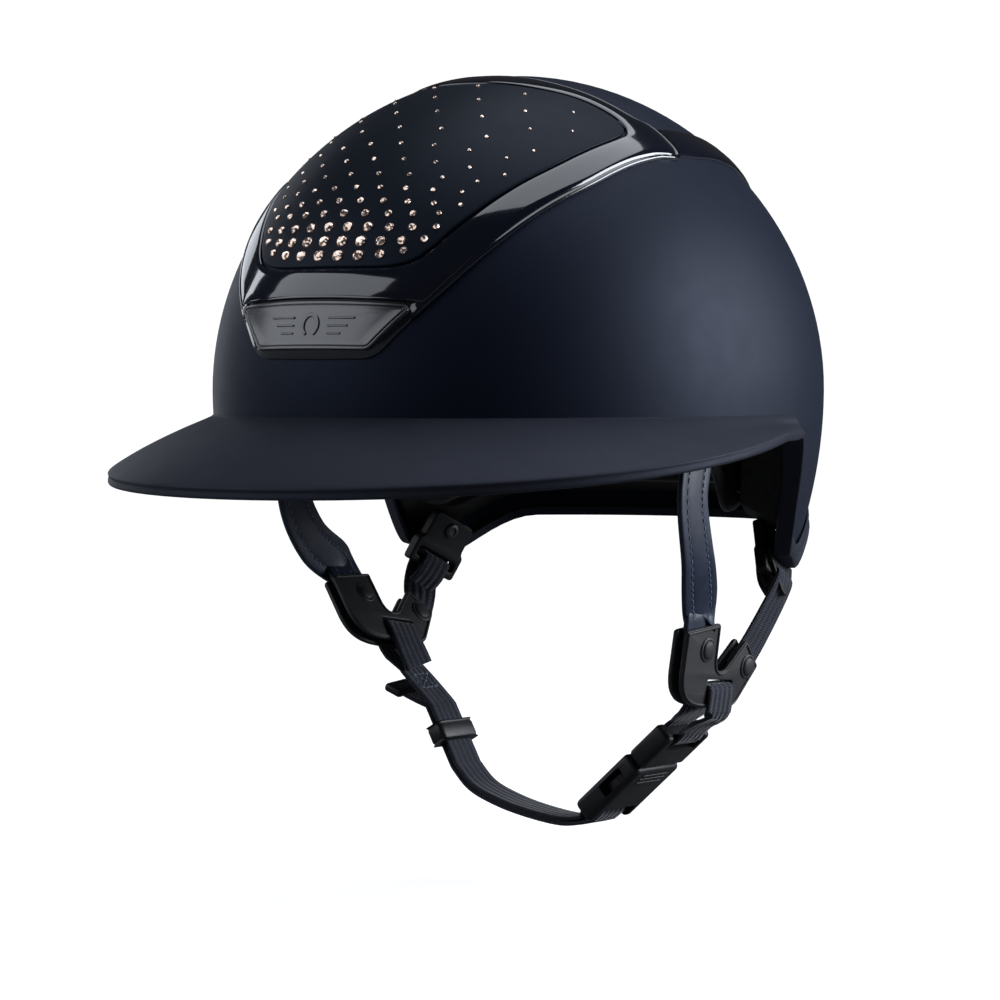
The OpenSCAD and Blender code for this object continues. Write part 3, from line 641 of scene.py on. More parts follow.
def make_gloss_frame():
    """Frame round the panel: a lip and crease along its outer edge, and the badge recess at the front."""
    outer = []
    inner = []
    for a, b, c, d in FRAME_LOOP:
        front = max(0.0, (FRONT_STEP - d) / (b - d)) if b < 24 else 0.0
        stops = frame_stops((on_lat(a, b) - on_lat(c, d)).length, front)
        outer.append([on_lat(mix(c, a, k), mix(d, b, k), h) for k, h in stops])
        inner.append([on_lat(mix(c, a, k), mix(d, b, k), FRAME_LOW - 0.1) for k, _ in stops])
    skin("gloss_frame_skin", turn_over(outer), turn_over(inner), GLOSS, wrap=True,
         replaces=["gloss_frame"], sharp=60)


def make_rear_frame():
    """The frame's two tails and the bow that joins them at the back."""
    right = [(-a, b, -c, d) for a, b, c, d in reversed(TAIL_HALF[:-1])]
    path = spline(TAIL_HALF + right, 8)
    stops = [(0, FRAME_LOW), (0.02, 1.0), (0.06, 1.45), (0.14, 1.6), (0.24, 1.6), (0.28, 1.62), (0.36, 1.72),
             (0.5, 1.8), (0.64, 1.75), (0.8, 1.6), (0.9, 1.45), (0.96, 1.1), (0.99, 0.7), (1, FRAME_LOW)]
    outer = [[on_lat(mix(a, c, k), mix(b, d, k), h) for k, h in stops] for a, b, c, d in path]
    inner = [[on_lat(mix(a, c, k), mix(b, d, k), FRAME_LOW - 0.1) for k, _ in stops] for a, b, c, d in path]
    skin("rear_frame_skin", outer, inner, GLOSS, replaces=["rear_frame"], sharp=60)


def shrunk(ring, middle, share, height):
    """The points of a ring drawn towards the middle, at one height."""
    return [(middle + (p - middle) * share, height) for p, _ in ring]


def dome_plate(name, rings, middle, high, foot, material, **options):
    """Plate on the dome, through rings of (lat and roll, height) pairs that shrink towards its middle."""
    outer = [[on_lat(*p, h) for p, h in ring] for ring in rings]
    inner = [[on_lat(*p, foot) for p, _ in ring] for ring in rings]
    tips = (on_lat(*middle, high), on_lat(*middle, foot))
    skin(name, outer, inner, material, wrap=True, tips=tips, **options)


def make_panel():
    """Front panel with a rolled edge."""
    edge = [Vector(point[:2]) for point in FRAME_LOOP]
    rings = []
    for inset, height in ((0.42, 0.3), (0.43, 0.8), (0.55, 1.08), (0.8, 1.18), (1.3, PANEL_HIGH)):
        rings.append([(p - (p - PANEL_MIDDLE).normalized() * inset, height) for p in edge])
    last = rings[-1]
    rings += [shrunk(last, PANEL_MIDDLE, 1 - i / PANEL_RINGS, PANEL_HIGH) for i in range(1, PANEL_RINGS)]
    dome_plate("panel_skin", rings, PANEL_MIDDLE, PANEL_HIGH, FRAME_LOW - 0.1, PANEL,
               replaces=["front_panel"], sharp=60)


# Rows of stones on the panel: roll, count, spread to each side in lat, and radius of the middle stones.
STONE_ROWS = {
    "crystals_large": [(21.9, 8, 13.4, 2.05), (24.5, 10, 16.2, 2.05), (27.2, 10, 17.4, 1.85)],
    "crystals_medium": [(29.9, 9, 17, 1.5), (32.5, 10, 19.8, 1.25), (35.3, 9, 19, 1.05)],
    "crystals_small": [
        (38.4, 8, 20.5, 0.95), (42, 9, 24, 0.9), (46.2, 8, 22.5, 0.85), (51, 7, 25.5, 0.8),
        (56.5, 6, 22, 0.8), (62.5, 7, 27.5, 0.75), (69, 6, 24, 0.75),
    ],
}


def surface_matrix(lat, roll, off, spin=0.0):
    """Matrix that stands a piece on the dome, z along the outward normal and x downward."""
    normal = dome_normal(lat, roll)
    across = Vector((0, 0, 1)).cross(normal).normalized()
    down = across.cross(normal)
    matrix = Matrix((down, across, normal)).transposed().to_4x4()
    matrix.translation = on_lat(lat, roll, off)
    return matrix @ Matrix.Rotation(spin, 4, "Z")


def add_stone(bm, matrix, radius):
    """Brilliant-cut stone: table, star and kite facets, girdle and a short pavilion."""
    def ring(count, reach, z, turn=0.0):
        return [bm.verts.new(matrix @ p) for p in circle(radius * reach, radius * z, count, turn)]

    table = ring(8, 0.52, 0.62)
    star = ring(8, 0.78, 0.40, 0.5)
    girdle = ring(16, 1, 0.08)
    base = ring(16, 0.9, -0.15)
    bm.faces.new(table)
    for k in range(8):
        n = (k + 1) % 8
        bm.faces.new((table[k], star[k], table[n]))
        bm.faces.new((star[k], girdle[2 * n], table[n]))
        bm.faces.new((table[n], girdle[2 * n], star[n]))
        bm.faces.new((star[k], girdle[2 * k + 1], girdle[2 * n]))
        bm.faces.new((star[k], girdle[2 * k], girdle[2 * k + 1]))
    join_rows(bm, girdle, base, wrap=True)
    bm.faces.new(base)


def add_seat(bm, matrix, radius):
    """Thin cup round a stone."""
    rims = ((1.28, -0.08), (1.2, 0.08), (1.04, 0.12), (0.98, -0.05))
    add_grid(bm, [[matrix @ p for p in circle(radius * reach, z, 20)] for reach, z in rims], wrap=True)


STONE_TILT = 0.10


def make_stones():
    """Fanned rows of stones, each turned and tipped a little, each in its own dark seat."""
    rng = random.Random(7)
    for node, rows in STONE_ROWS.items():
        stones = bmesh.new()
        seats = bmesh.new()
        for roll, count, spread, radius in rows:
            for i in range(count):
                t = i / (count - 1) * 2 - 1
                place = (t * spread, roll + 1.6 * abs(t) ** 3)
                size = radius * (1 - 0.35 * t * t)
                tilt = Matrix.Rotation(rng.uniform(-STONE_TILT, STONE_TILT), 4, "X")
                tilt = tilt @ Matrix.Rotation(rng.uniform(-STONE_TILT, STONE_TILT), 4, "Y")
                matrix = surface_matrix(*place, PANEL_HIGH + 0.1, rng.uniform(0, 0.8)) @ tilt
                add_stone(stones, matrix, size)
                add_seat(seats, surface_matrix(*place, PANEL_HIGH + 0.02), size)
        finish_mesh(node + "_cut", stones, CRYSTAL, replaces=[node], flat=True)
        finish_mesh(node + "_seats", seats, SEAT)


def rounded(points, radius, steps=5):
    """Closed outline with each corner replaced by a curve; radius is one value or one for each corner."""
    n = len(points)
    radii = radius if isinstance(radius, (list, tuple)) else [radius] * n
    out = []
    for i in range(n):
        p = Vector(points[i])
        before = Vector(points[i - 1]) - p
        after = Vector(points[(i + 1) % n]) - p
        cut = min(radii[i], before.length * 0.48, after.length * 0.48)
        a = p + before.normalized() * cut
        b = p + after.normalized() * cut
        for k in range(steps + 1):
            t = k / steps
            out.append(a * (1 - t) ** 2 + p * 2 * t * (1 - t) + b * t * t)
    return out


def inset_loop(points, distance):
    """The outline moved inward; points run anticlockwise."""
    n = len(points)
    out = []
    for i in range(n):
        run = (points[(i + 1) % n] - points[i - 1]).normalized()
        out.append(points[i] + Vector((-run.y, run.x)) * distance)
    return out


def subdivided(outline, step):
    """The outline with points no more than about a step apart."""
    out = []
    for i, p in enumerate(outline):
        q = outline[(i + 1) % len(outline)]
        count = max(1, int((q - p).length / step))
        out += [p.lerp(q, k / count) for k in range(count)]
    return out


BADGE_OUTLINE = [(-10.9, 6.3), (10.9, 6.3), (16.9, 13.1), (16.2, 14.1), (-16.2, 14.1), (-16.9, 13.1)]
BADGE_MIDDLE = Vector((0, 10.1))
BADGE_FACE = 2.5
BADGE_FOOT = 0.7


def make_badge_plate():
    """Badge plate with a raised, double-bevelled border."""
    outline = subdivided(rounded(BADGE_OUTLINE, [0.9, 0.9, 0.5, 0.5, 0.5, 0.5]), 0.8)
    steps = [(0, 0.72), (0.05, 2.3), (0.16, 2.62), (0.34, 2.7), (0.50, 2.62), (0.56, 2.3), (0.62, 2.15),
             (0.70, 2.2), (0.80, 2.52), (0.92, 2.55), (1.0, BADGE_FACE)]
    rings = [[(p, height) for p in inset_loop(outline, inset)] for inset, height in steps]
    last = rings[-1]
    rings += [shrunk(last, BADGE_MIDDLE, share, BADGE_FACE) for share in (0.85, 0.6, 0.35, 0.12)]
    dome_plate("badge_plate_skin", rings, BADGE_MIDDLE, BADGE_FACE, BADGE_FOOT, BADGE,
               replaces=["badge_plate"], sharp=35)


def make_badge_relief():
    """Plain horseshoe between two stacks of bars."""
    relief = bmesh.new()
    add_horseshoe(relief, surface_matrix(*BADGE_MIDDLE, BADGE_FACE))
    for side in (-1, 1):
        for k in (-1, 0, 1):
            length = 11.0 - 2.6 * (1 - k)
            lat = side * (3.3 + length / 4.6)
            add_bar(relief, surface_matrix(lat, BADGE_MIDDLE.y + k * 1.25, BADGE_FACE), 0.7, length, 0.35)
    finish_mesh("badge_relief", relief, BADGE_RELIEF, replaces=["badge_emblem"], sharp=30)


def add_bar(bm, matrix, wide, length, high):
    """Low bar with chamfered top edges, its length along y."""
    rows = []
    for inset, z in ((0, -0.3), (0, high * 0.6), (0.14, high)):
        x, y = wide / 2 - inset, length / 2 - inset
        rows.append([matrix @ Vector(c) for c in ((-x, -y, z), (x, -y, z), (x, y, z), (-x, y, z))])
    add_solid(bm, rows)


def add_horseshoe(bm, matrix):
    """Horseshoe open at the bottom."""
    rings = []
    for angle in map(math.radians, evenly(-145, 145, 24)):
        out = Vector((-math.cos(angle), math.sin(angle), 0))
        narrow = 1 - 0.1 * smooth(1.6, 2.6, abs(angle))
        middle = Vector((out.x * 3.9, out.y * 3.3 * narrow, 0))
        half = 0.75 - 0.2 * smooth(1.2, 2.6, abs(angle))
        section = [(-half, -0.3), (-half, 0.3), (0.15 - half, 0.45)]
        section += [(-x, z) for x, z in reversed(section)]
        rings.append([matrix @ (middle + out * x + Vector((0, 0, z))) for x, z in section])
    add_solid(bm, rings)


def slat(name, reach, steps, stops, foot, material, **options):
    """Bar across the dome; stops are (roll, height) pairs from its lower edge to its upper one."""
    lats = evenly(-reach, reach, steps)
    outer = [[on_lat(lat, roll, height) for lat in lats] for roll, height in stops]
    inner = [[on_lat(lat, roll, foot) for lat in lats] for roll, _ in stops]
    skin(name, outer, inner, material, **options)


def make_intake():
    """Dark slit between the front band and the badge, with a fine bright lip above it."""
    slit = [(14.22, 0.72), (14.26, 0.8), (14.5, 0.8), (14.54, 0.72)]
    lip = [(14.62, 1.2), (14.66, 1.85), (14.85, 2.0), (15.05, 1.85), (15.1, 1.4)]
    slat("intake_slit", 15.6, 40, slit, 0.5, BLACK, replaces=["intake_insert"])
    slat("intake_lip", 15.6, 40, lip, 1.0, GLOSS)


def make_louvres():
    """Slats over the exhaust opening between the tails."""
    profile = [(0, FRAME_LOW), (0.05, 0.7), (0.25, 1.15), (1.0, 1.5), (1.9, 1.45), (2.25, 1.1),
               (2.4, FRAME_LOW)]
    for k in range(4):
        stops = [(137 + 3.6 * k + roll, height) for roll, height in profile]
        slat("louvre_%d" % (k + 1), 15 - 3 * k, 30, stops, FRAME_LOW - 0.1, BLACK,
             replaces=["rear_louvres"] if k == 0 else ())


# ---------------------------------------------------------------- lining

LINER_OUT = -SHELL_WALL - 0.3
LINER_IN = LINER_OUT - 18
PAD_OUT = LINER_IN - 1.8
PAD_VOXEL = 4.5
PAD_PRESSURE = 4
PAD_FRAMES = 20
PAD_SWELL = 2.2


def make_liner():
    """Foam liner inside the shell."""
    up = Vector((0, 0, 1))
    skin("liner_foam", shell_grid(LINER_OUT, 4, 26), shell_grid(LINER_IN, 4, 26), LINER, wrap=True,
         tips=(dome(up, LINER_OUT), dome(up, LINER_IN)), replaces=["foam_liner"])


def sub_grid(turns, heights, off):
    """Grid of points on the dome; turns and heights are each a start, an end and a count of steps."""
    return [[wall_point(turn, z, off) for turn in evenly(*turns)] for z in evenly(*heights)]


def inflate(obj, swell_mm):
    """Puffs a closed pad up with a short cloth simulation and keeps the result as plain mesh."""
    remesh = obj.modifiers.new("even", "REMESH")
    remesh.mode = "VOXEL"
    remesh.voxel_size = PAD_VOXEL * MM
    bake(obj)
    before = [v.co.copy() for v in obj.data.vertices]
    cloth = obj.modifiers.new("cloth", "CLOTH")
    cloth.settings.use_pressure = True
    cloth.settings.uniform_pressure_force = PAD_PRESSURE
    cloth.settings.effector_weights.gravity = 0
    for step in range(1, PAD_FRAMES + 1):
        bpy.context.scene.frame_set(step)
    bake(obj)
    bpy.context.scene.frame_set(1)
    for vertex, start in zip(obj.data.vertices, before):
        move = vertex.co - start
        if move.length > swell_mm * MM:
            vertex.co = start + move.normalized() * swell_mm * MM
    fine = obj.modifiers.new("fine", "SUBSURF")
    fine.levels = 1
    fine.render_levels = 1
    bake(obj)
    obj.data.shade_smooth()


def evaluated_mesh(obj):
    """Mesh of an object with its modifiers, or a curve's thickness, worked out."""
    bpy.context.view_layer.update()
    graph = bpy.context.evaluated_depsgraph_get()
    return bpy.data.meshes.new_from_object(obj.evaluated_get(graph))


def bake(obj):
    """Turns the modifiers of an object into mesh."""
    mesh = evaluated_mesh(obj)
    obj.modifiers.clear()
    obj.data = mesh


def make_pad(node, outer, inner, material, swell_mm, fill=0.6):
    """A comfort pad: a slightly smaller closed form between two grids, puffed up by cloth simulation."""
    pad = skin(node + "_cushion", outer, inner, material, body=None, replaces=[node])
    inflate(pad, swell_mm)
    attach(pad, "helmet")


def make_pads():
    """Brow, side and crown pads on the liner, and the nape pad on the cradle."""
    levels = (PAD_OUT - 1.2, PAD_OUT - 5.2)
    spots = [("brow_pad", (-64, 64, 40), (6.5, 31.5, 6))]
    spots += [(node, (side * 86, side * 110, 10), (10.5, 35.5, 6)) for side, node in both_sides("side_pad")]
    for node, turns, heights in spots:
        make_pad(node, *[sub_grid(turns, heights, off) for off in levels], PAD, PAD_SWELL)
    lats = evenly(-23, 23, 12)
    rolls = evenly(61, 118, 14)
    crown = [[[on_lat(lat, roll, off) for lat in lats] for roll in rolls] for off in levels]
    make_pad("crown_pad", *crown, PAD, PAD_SWELL)
    nape = [band_grid(27, CRADLE_IN - depth, 3.2) for depth in (1.4, 4.4)]
    make_pad("nape_pad", *nape, NAPE, 1.6)


def turned(name, profile, matrices, material, **options):
    """Solids of revolution, one at each matrix; profile is (radius, height) pairs from end to end."""
    bm = bmesh.new()
    for matrix in matrices:
        add_solid(bm, [[matrix @ p for p in circle(r, z)] for r, z in profile])
    return finish_mesh(name, bm, material, **options)


def frame_at(place, x, y):
    """Matrix with its origin at place and its x and y axes along the given directions."""
    x = Vector(x).normalized()
    z = x.cross(Vector(y)).normalized()
    matrix = Matrix((x, z.cross(x), z)).transposed().to_4x4()
    matrix.translation = Vector(place)
    return matrix


def make_hook_dots():
    """Round hook-tape dots that hold the pads to the liner."""
    spots = [(0, 78), (0, 100), (-16, 88), (16, 88), (-30, 10), (30, 10), (0, 10)]
    dots = [surface_matrix(*spot, LINER_IN - 1.35) for spot in spots]
    turned("hook_tape_dots", [(3.7, 0), (4, 0.1), (4, 0.35), (3.7, 0.5)], dots, HOOK, replaces=["hook_dots"])


# ---------------------------------------------------------------- rear cradle

CRADLE_OUT = LINER_IN - 3.4
CRADLE_IN = CRADLE_OUT - 3
PIN_AXIS = (41.0, -20.0)
LUG_X = 70.5
PIN_X = 65.0


def cradle_low(t):
    a = abs(t)
    return -36 - 8 * smooth(38, 54, a) - 6 * smooth(50, 61, a) + 24 * smooth(64, 82, a)


def cradle_high(t):
    return -13 + 5 * smooth(40, 70, abs(t))


def band_grid(reach, off, inset):
    """Grid of points over the middle of the cradle, its edges drawn in by inset."""
    return [
        [wall_point(180 + t, mix(cradle_low(t) + inset, cradle_high(t) - inset, share), off)
         for t in evenly(-reach, reach, 64)]
        for share in evenly(0, 1, 10)
    ]


def cradle_row(share, off):
    """One row of points along the cradle, at a share of the way up it."""
    return [wall_point(180 + t, mix(cradle_low(t), cradle_high(t), share), off) for t in evenly(-80, 80, 96)]


def make_cradle_band():
    """Rear cradle: a band with softened edges and raised ribs."""
    outer = [(0, -1.5), (0.03, -0.35), (0.10, 0), (0.3, 0), (0.34, -0.7), (0.66, -0.7), (0.7, 0), (0.90, 0),
             (0.97, -0.35), (1, -1.5)]
    inner = [(0.99, 0.6), (0.95, 0), (0.7, 0), (0.5, 0), (0.3, 0), (0.05, 0), (0.01, 0.6)]
    rows = [cradle_row(share, CRADLE_OUT + off) for share, off in outer]
    rows += [cradle_row(share, CRADLE_IN + off) for share, off in inner]
    ring_sweep("cradle_band", turn_over(rows), DARK_CHARCOAL, closed=False, replaces=["rear_cradle"])


def pin_places(x):
    """Matrices on the cradle's pivot axis at both sides, x from the middle and pointing outward."""
    return [frame_at((side * x, *PIN_AXIS), (0, 1, 0), (0, 0, side)) for side in (1, -1)]


def make_cradle_pivots():
    """Round lugs at the ends of the cradle and the pins that they turn on."""
    lug = [(2.6, 2.5), (5.6, 2.5), (6.6, 2.1), (7, 1.4), (7, -1.4), (6.6, -2.1), (5.6, -2.5), (2.6, -2.5)]
    pin = [(0.8, -1.5), (4.2, -1.5), (4.8, -1.1), (5, -0.3), (4.8, 0), (2.5, 0), (2.5, 24.3), (2.1, 25),
           (0.5, 25)]
    turned("cradle_lugs", lug, pin_places(LUG_X), DARK_CHARCOAL)
    turned("cradle_pivots", pin, pin_places(PIN_X), CHARCOAL, replaces=["cradle_pins"])


# ---------------------------------------------------------------- strap and plate helpers


def flat_strap(name, path, width, wall, wide, material, profile=None, **options):
    """Strap along a path with rounded edges; UV is in metres, across and along, for the weave."""
    sides = wide if isinstance(wide, list) else [Vector(wide)] * len(path)
    shape = profile or strap_profile(width, wall)
    along = distances(path)
    across = distances([Vector(corner) for corner in shape + shape[:1]])
    bm = bmesh.new()
    layer = bm.loops.layers.uv.new("UVMap")
    rings = []
    for k, middle in enumerate(path):
        run = run_at(path, k)
        side = square_to(sides[k], run)
        rings.append([bm.verts.new(middle + side * x + run.cross(side) * z) for x, z in shape])
    for k in range(len(path) - 1):
        for j in range(len(shape)):
            m = (j + 1) % len(shape)
            face = bm.faces.new((rings[k][j], rings[k + 1][j], rings[k + 1][m], rings[k][m]))
            spots = ((j, k), (j, k + 1), (j + 1, k + 1), (j + 1, k))
            for loop, (u, v) in zip(face.loops, spots):
                loop[layer].uv = (across[u] * MM, along[v] * MM)
    bm.faces.new(rings[0])
    bm.faces.new(rings[-1])
    return finish_mesh(name, bm, material, sharp=50, **options)


def strap_profile(width, wall):
    """Closed outline of a strap as (across, through) pairs, with rounded edges."""
    thick = wall / 2
    flat = width / 2 - thick
    half = [(x, thick) for x in evenly(-flat, flat, 12)]
    edge = map(math.radians, evenly(30, 150, 4))
    half += [(flat + thick * math.sin(a), thick * math.cos(a)) for a in edge]
    return half + [(-x, -z) for x, z in half]


def leather_profile(width, wall):
    """Strap outline with a padded middle and a groove under each stitch row."""
    right = [(0.3, 1.14), (0.48, 1.02), (0.54, 0.86), (0.6, 1.02), (0.9, 0.98), (0.97, 0.85), (1, 0.55)]
    rows = [(-x, z) for x, z in reversed(right)] + [(0, 1.2)] + right
    top = [(x * width / 2, z * wall / 2) for x, z in rows]
    return top + [(-x, -z) for x, z in top]


def cord_ring(middle, side, up, radius):
    """Ring of points round the middle of a thin cord."""
    return [middle + side * p.x + up * p.y for p in circle(radius, 0, 8)]


def add_stitch(bm, a, b, up, radius=0.3):
    """One stitch: a short rounded cord whose ends dip into the strap."""
    side = (b - a).normalized().cross(up).normalized()
    half = [(0, -0.15, 0.5), (0.12, 0.12, 0.9), (0.3, 0.24, 1)]
    bends = half + [(1 - t, lift, share) for t, lift, share in reversed(half)]
    rings = [cord_ring(a.lerp(b, t) + up * lift, side, up, radius * share) for t, lift, share in bends]
    add_solid(bm, rings)


def stitch_rows(name, path, wide, places, rise, pitch):
    """Rows of stitches along a path; places are (across, +1 or -1 for the face)."""
    bm = bmesh.new()
    total = distances(path)

    def spot(distance, across, face):
        k = 0
        while k < len(path) - 2 and total[k + 1] < distance:
            k += 1
        t = (distance - total[k]) / (total[k + 1] - total[k])
        run = (path[k + 1] - path[k]).normalized()
        side = square_to(Vector(wide), run)
        up = run.cross(side) * face
        return path[k].lerp(path[k + 1], t) + side * across + up * rise, up

    for across, face in places:
        at = pitch * 0.5
        while at + pitch < total[-1]:
            a, up = spot(at, across, face)
            b, _ = spot(at + pitch * 0.72, across, face)
            add_stitch(bm, a, b, up)
            at += pitch
    return finish_mesh(name, bm, STITCH)


def set_in_place(name, source, matrix, material, merge=None, **options):
    """Takes the shape of a source object, drops the source and sets the shape where the matrix says."""
    bm = bmesh.new()
    bm.from_mesh(evaluated_mesh(source))
    bpy.data.objects.remove(source)
    if merge:
        bmesh.ops.remove_doubles(bm, verts=bm.verts, dist=merge)
    bm.transform(matrix)
    return finish_mesh(name, bm, material, **options)


def plate(name, outline, holes, thickness, matrix, material, edge, **options):
    """Flat plate with rounded edges, cut from an outline with holes; it lies in the matrix's XY plane."""
    curve = bpy.data.curves.new(name, "CURVE")
    curve.dimensions = "2D"
    curve.fill_mode = "BOTH"
    curve.extrude = thickness / 2 - edge
    curve.bevel_depth = edge
    curve.bevel_resolution = 3
    curve.offset = -edge
    for loop in [outline] + [list(reversed(hole)) for hole in holes]:
        line = curve.splines.new("POLY")
        line.points.add(len(loop) - 1)
        line.use_cyclic_u = True
        for point, corner in zip(line.points, loop):
            point.co = (corner[0], corner[1], 0, 1)
    source = link(bpy.data.objects.new(name + "_source", curve))
    return set_in_place(name, source, matrix, material, merge=0.01, sharp=50, **options)


def bead(name, points, radius, material, closed=True, up=Vector((0, 0, 1)), **options):
    """Round cord along points, such as a moulded lip."""
    sections = []
    for k, middle in enumerate(points):
        run = (points[(k + 1) % len(points)] - points[k - 1]).normalized() if closed else run_at(points, k)
        side = run.cross(up).normalized()
        sections.append(cord_ring(middle, side, side.cross(run), radius))
    return ring_sweep(name, sections, material, closed=closed, sharp=60, **options)


BOX_STEPS = 4


def box_object(name, low, high, radius):
    """Box with rounded edges and corners."""
    low, high = Vector(low), Vector(high)
    middle = (low + high) / 2
    inner = (high - low) / 2 - Vector((radius, radius, radius))
    rows = []
    for end, first in ((-1, -90), (1, 0)):
        for lift in map(math.radians, evenly(first, first + 90, BOX_STEPS)):
            row = []
            for corner, (sx, sy) in enumerate(((1, 1), (-1, 1), (-1, -1), (1, -1))):
                reach = radius * math.cos(lift)
                for angle in map(math.radians, evenly(90 * corner, 90 * corner + 90, BOX_STEPS)):
                    row.append(middle + Vector((
                        sx * inner.x + reach * math.cos(angle),
                        sy * inner.y + reach * math.sin(angle),
                        end * inner.z + radius * math.sin(lift),
                    )))
            rows.append(row)
    bm = bmesh.new()
    add_solid(bm, rows)
    bmesh.ops.remove_doubles(bm, verts=bm.verts, dist=0.0005)
    return to_object(name, bm)


def block(name, low, high, radius, matrix, material, cuts=(), **options):
    """Rounded box set in place by a matrix, with rounded boxes cut out of it."""
    solid = box_object(name, low, high, radius)
    for cut in cuts:
        cutter = box_object(name + "_cut", *cut)
        carve = solid.modifiers.new("carve", "BOOLEAN")
        carve.operation = "DIFFERENCE"
        carve.solver = "EXACT"
        carve.object = cutter
        bake(solid)
        bpy.data.objects.remove(cutter)
    return set_in_place(name, solid, matrix, material, sharp=35, **options)


# ---------------------------------------------------------------- anchors and clips

# Nominal width of the harness; the straps are a little narrower.
WEB_WIDTH = 20.0
STRAP_WALL = 2.2
WEB_WALL = 1.5
ANCHOR = Vector((94, -22, 6))
CLIP_PLACE = Vector((80.4, 50, -55.5))
CLIP_LEAN = math.radians(24)
CLIP_TOE = math.radians(8)
CLIP_TUCK = math.radians(20)
# Stands a plate's outline upright: its x along the helmet and its y up.
UPRIGHT = Matrix(((0, 0, 1, 0), (1, 0, 0, 0), (0, 1, 0, 0), (0, 0, 0, 1)))


def make_anchors():
    """Front anchors: a plate inside each strap's end, with a rivet through both."""
    head = [(0.4, -2.4), (2.2, -2.3), (3.6, -1.9), (4.4, -1.2), (4.4, -0.9), (3, 0), (2, 0), (2, 4.2),
            (1.7, 4.4), (0.5, 4.4)]
    places = []
    for side, node in both_sides("front_anchor"):
        x = side * (ANCHOR.x + 2.9)
        block(node + "_plate", (x - 1.5, ANCHOR.y - 10, -2), (x + 1.5, ANCHOR.y + 10, 12), 1.2,
              Matrix(), BLACK, replaces=[node])
        places.append(frame_at((side * (ANCHOR.x - 1.2), ANCHOR.y, ANCHOR.z), (0, 1, 0), (0, 0, side)))
    turned("anchor_rivet_heads", head, places, STEEL, replaces=["anchor_rivets"])


def clip_matrix(side):
    place = CLIP_PLACE.copy()
    place.x *= side
    turn = Matrix.Rotation(-CLIP_LEAN, 4, "X") @ Matrix.Rotation(side * CLIP_TOE, 4, "Z")
    return Matrix.Translation(place) @ turn @ Matrix.Rotation(-side * CLIP_TUCK, 4, "Y")


def clip_dir(side, p):
    return clip_matrix(side).to_3x3() @ Vector(p)


def clip_point(side, p):
    return clip_matrix(side) @ Vector(p)


def make_clips():
    """Rear clips: a loop with an outer flap that ends in a point, on a tongue inside the skirt."""
    outline = rounded([(-13, -6), (13, -6), (13, 4), (11, 5.5), (11, 16), (9, 17), (-9, 17), (-11, 16),
                       (-11, 5.5), (-13, 4)], 1.6)
    slot = rounded([(-10.4, -2.9), (10.4, -2.9), (10.4, 0.9), (-10.4, 0.9)], 1.2)
    flap = rounded([(-12, 3), (12, 3), (10, -2), (3, -11.5), (0, -12.8), (-3, -11.5), (-10, -2)], 1.4)
    head = [(0.9, -0.9), (1.5, -1.0), (1.6, -1.4), (2.7, -1.35), (3.2, -0.9), (3.2, 0), (1.7, 0),
            (1.7, 5.4), (0.5, 5.6)]
    screws = []
    for side, node in both_sides("rear_clip"):
        matrix = clip_matrix(side) @ UPRIGHT
        front = matrix @ Matrix.Translation((0, 0, side * 3.4))
        plate(node + "_loop", outline, [slot], 4.6, matrix, BLACK, edge=0.9, replaces=[node])
        plate(node + "_flap", flap, [], 1.3, front, BLACK, edge=0.5)
        screws.append(clip_matrix(side) @ frame_at((-side * 2, 0, 12), (0, 1, 0), (0, 0, side)))
    turned("clip_screw_heads", head, screws, STEEL, replaces=["rear_clip_screws"])


# ---------------------------------------------------------------- dividers and side straps

DIVIDER_PLACE = {1: Vector((78.5, 11.5, -99.4)), -1: Vector((-79, 23, -84.7))}
DIVIDER_LEAN = {1: math.radians(8), -1: math.radians(-36)}
DIVIDER_TILT = {1: math.radians(-4.6), -1: math.radians(-10.7)}
DIVIDER_OUTLINE = [
    (-28.3, 21.6), (-27.4, 4), (-25.5, -1.2), (-21.5, -4.6), (-16, -6.2), (-10, -6.5), (7.5, -6.5),
    (10.5, -5.8), (13, -4), (24, 10), (13.5, 19.6), (1.8, 8), (-1, 7.2), (-3.6, 8), (-5, 10.5), (-6.3, 25.4),
]
DIVIDER_CORNERS = [1.2, 4, 5, 5, 5, 6, 4, 4, 3, 1.6, 1.6, 4, 3, 3, 3, 1.2]
RIVET_SPOTS = [(-13, 15.3), (16.6, 9.6)]
PLATE_WALL = 1.6
PLATE_GAP = STRAP_WALL + 0.8


def divider_matrix(side):
    turn = Matrix.Rotation(DIVIDER_LEAN[side], 4, "Y") @ Matrix.Rotation(DIVIDER_TILT[side], 4, "X")
    return Matrix.Translation(DIVIDER_PLACE[side]) @ turn


def divider_point(side, p):
    return divider_matrix(side) @ Vector(p)


def divider_dir(side, p):
    return divider_matrix(side).to_3x3() @ Vector(p)


def rivet_places(side):
    """Matrices of the rivet heads on both faces of a divider."""
    places = []
    for y, z in RIVET_SPOTS:
        for face in (1, -1):
            at = divider_point(side, (face * (PLATE_GAP / 2 + PLATE_WALL), y, z))
            places.append(frame_at(at, divider_dir(side, (0, 1, 0)), divider_dir(side, (0, 0, face))))
    return places


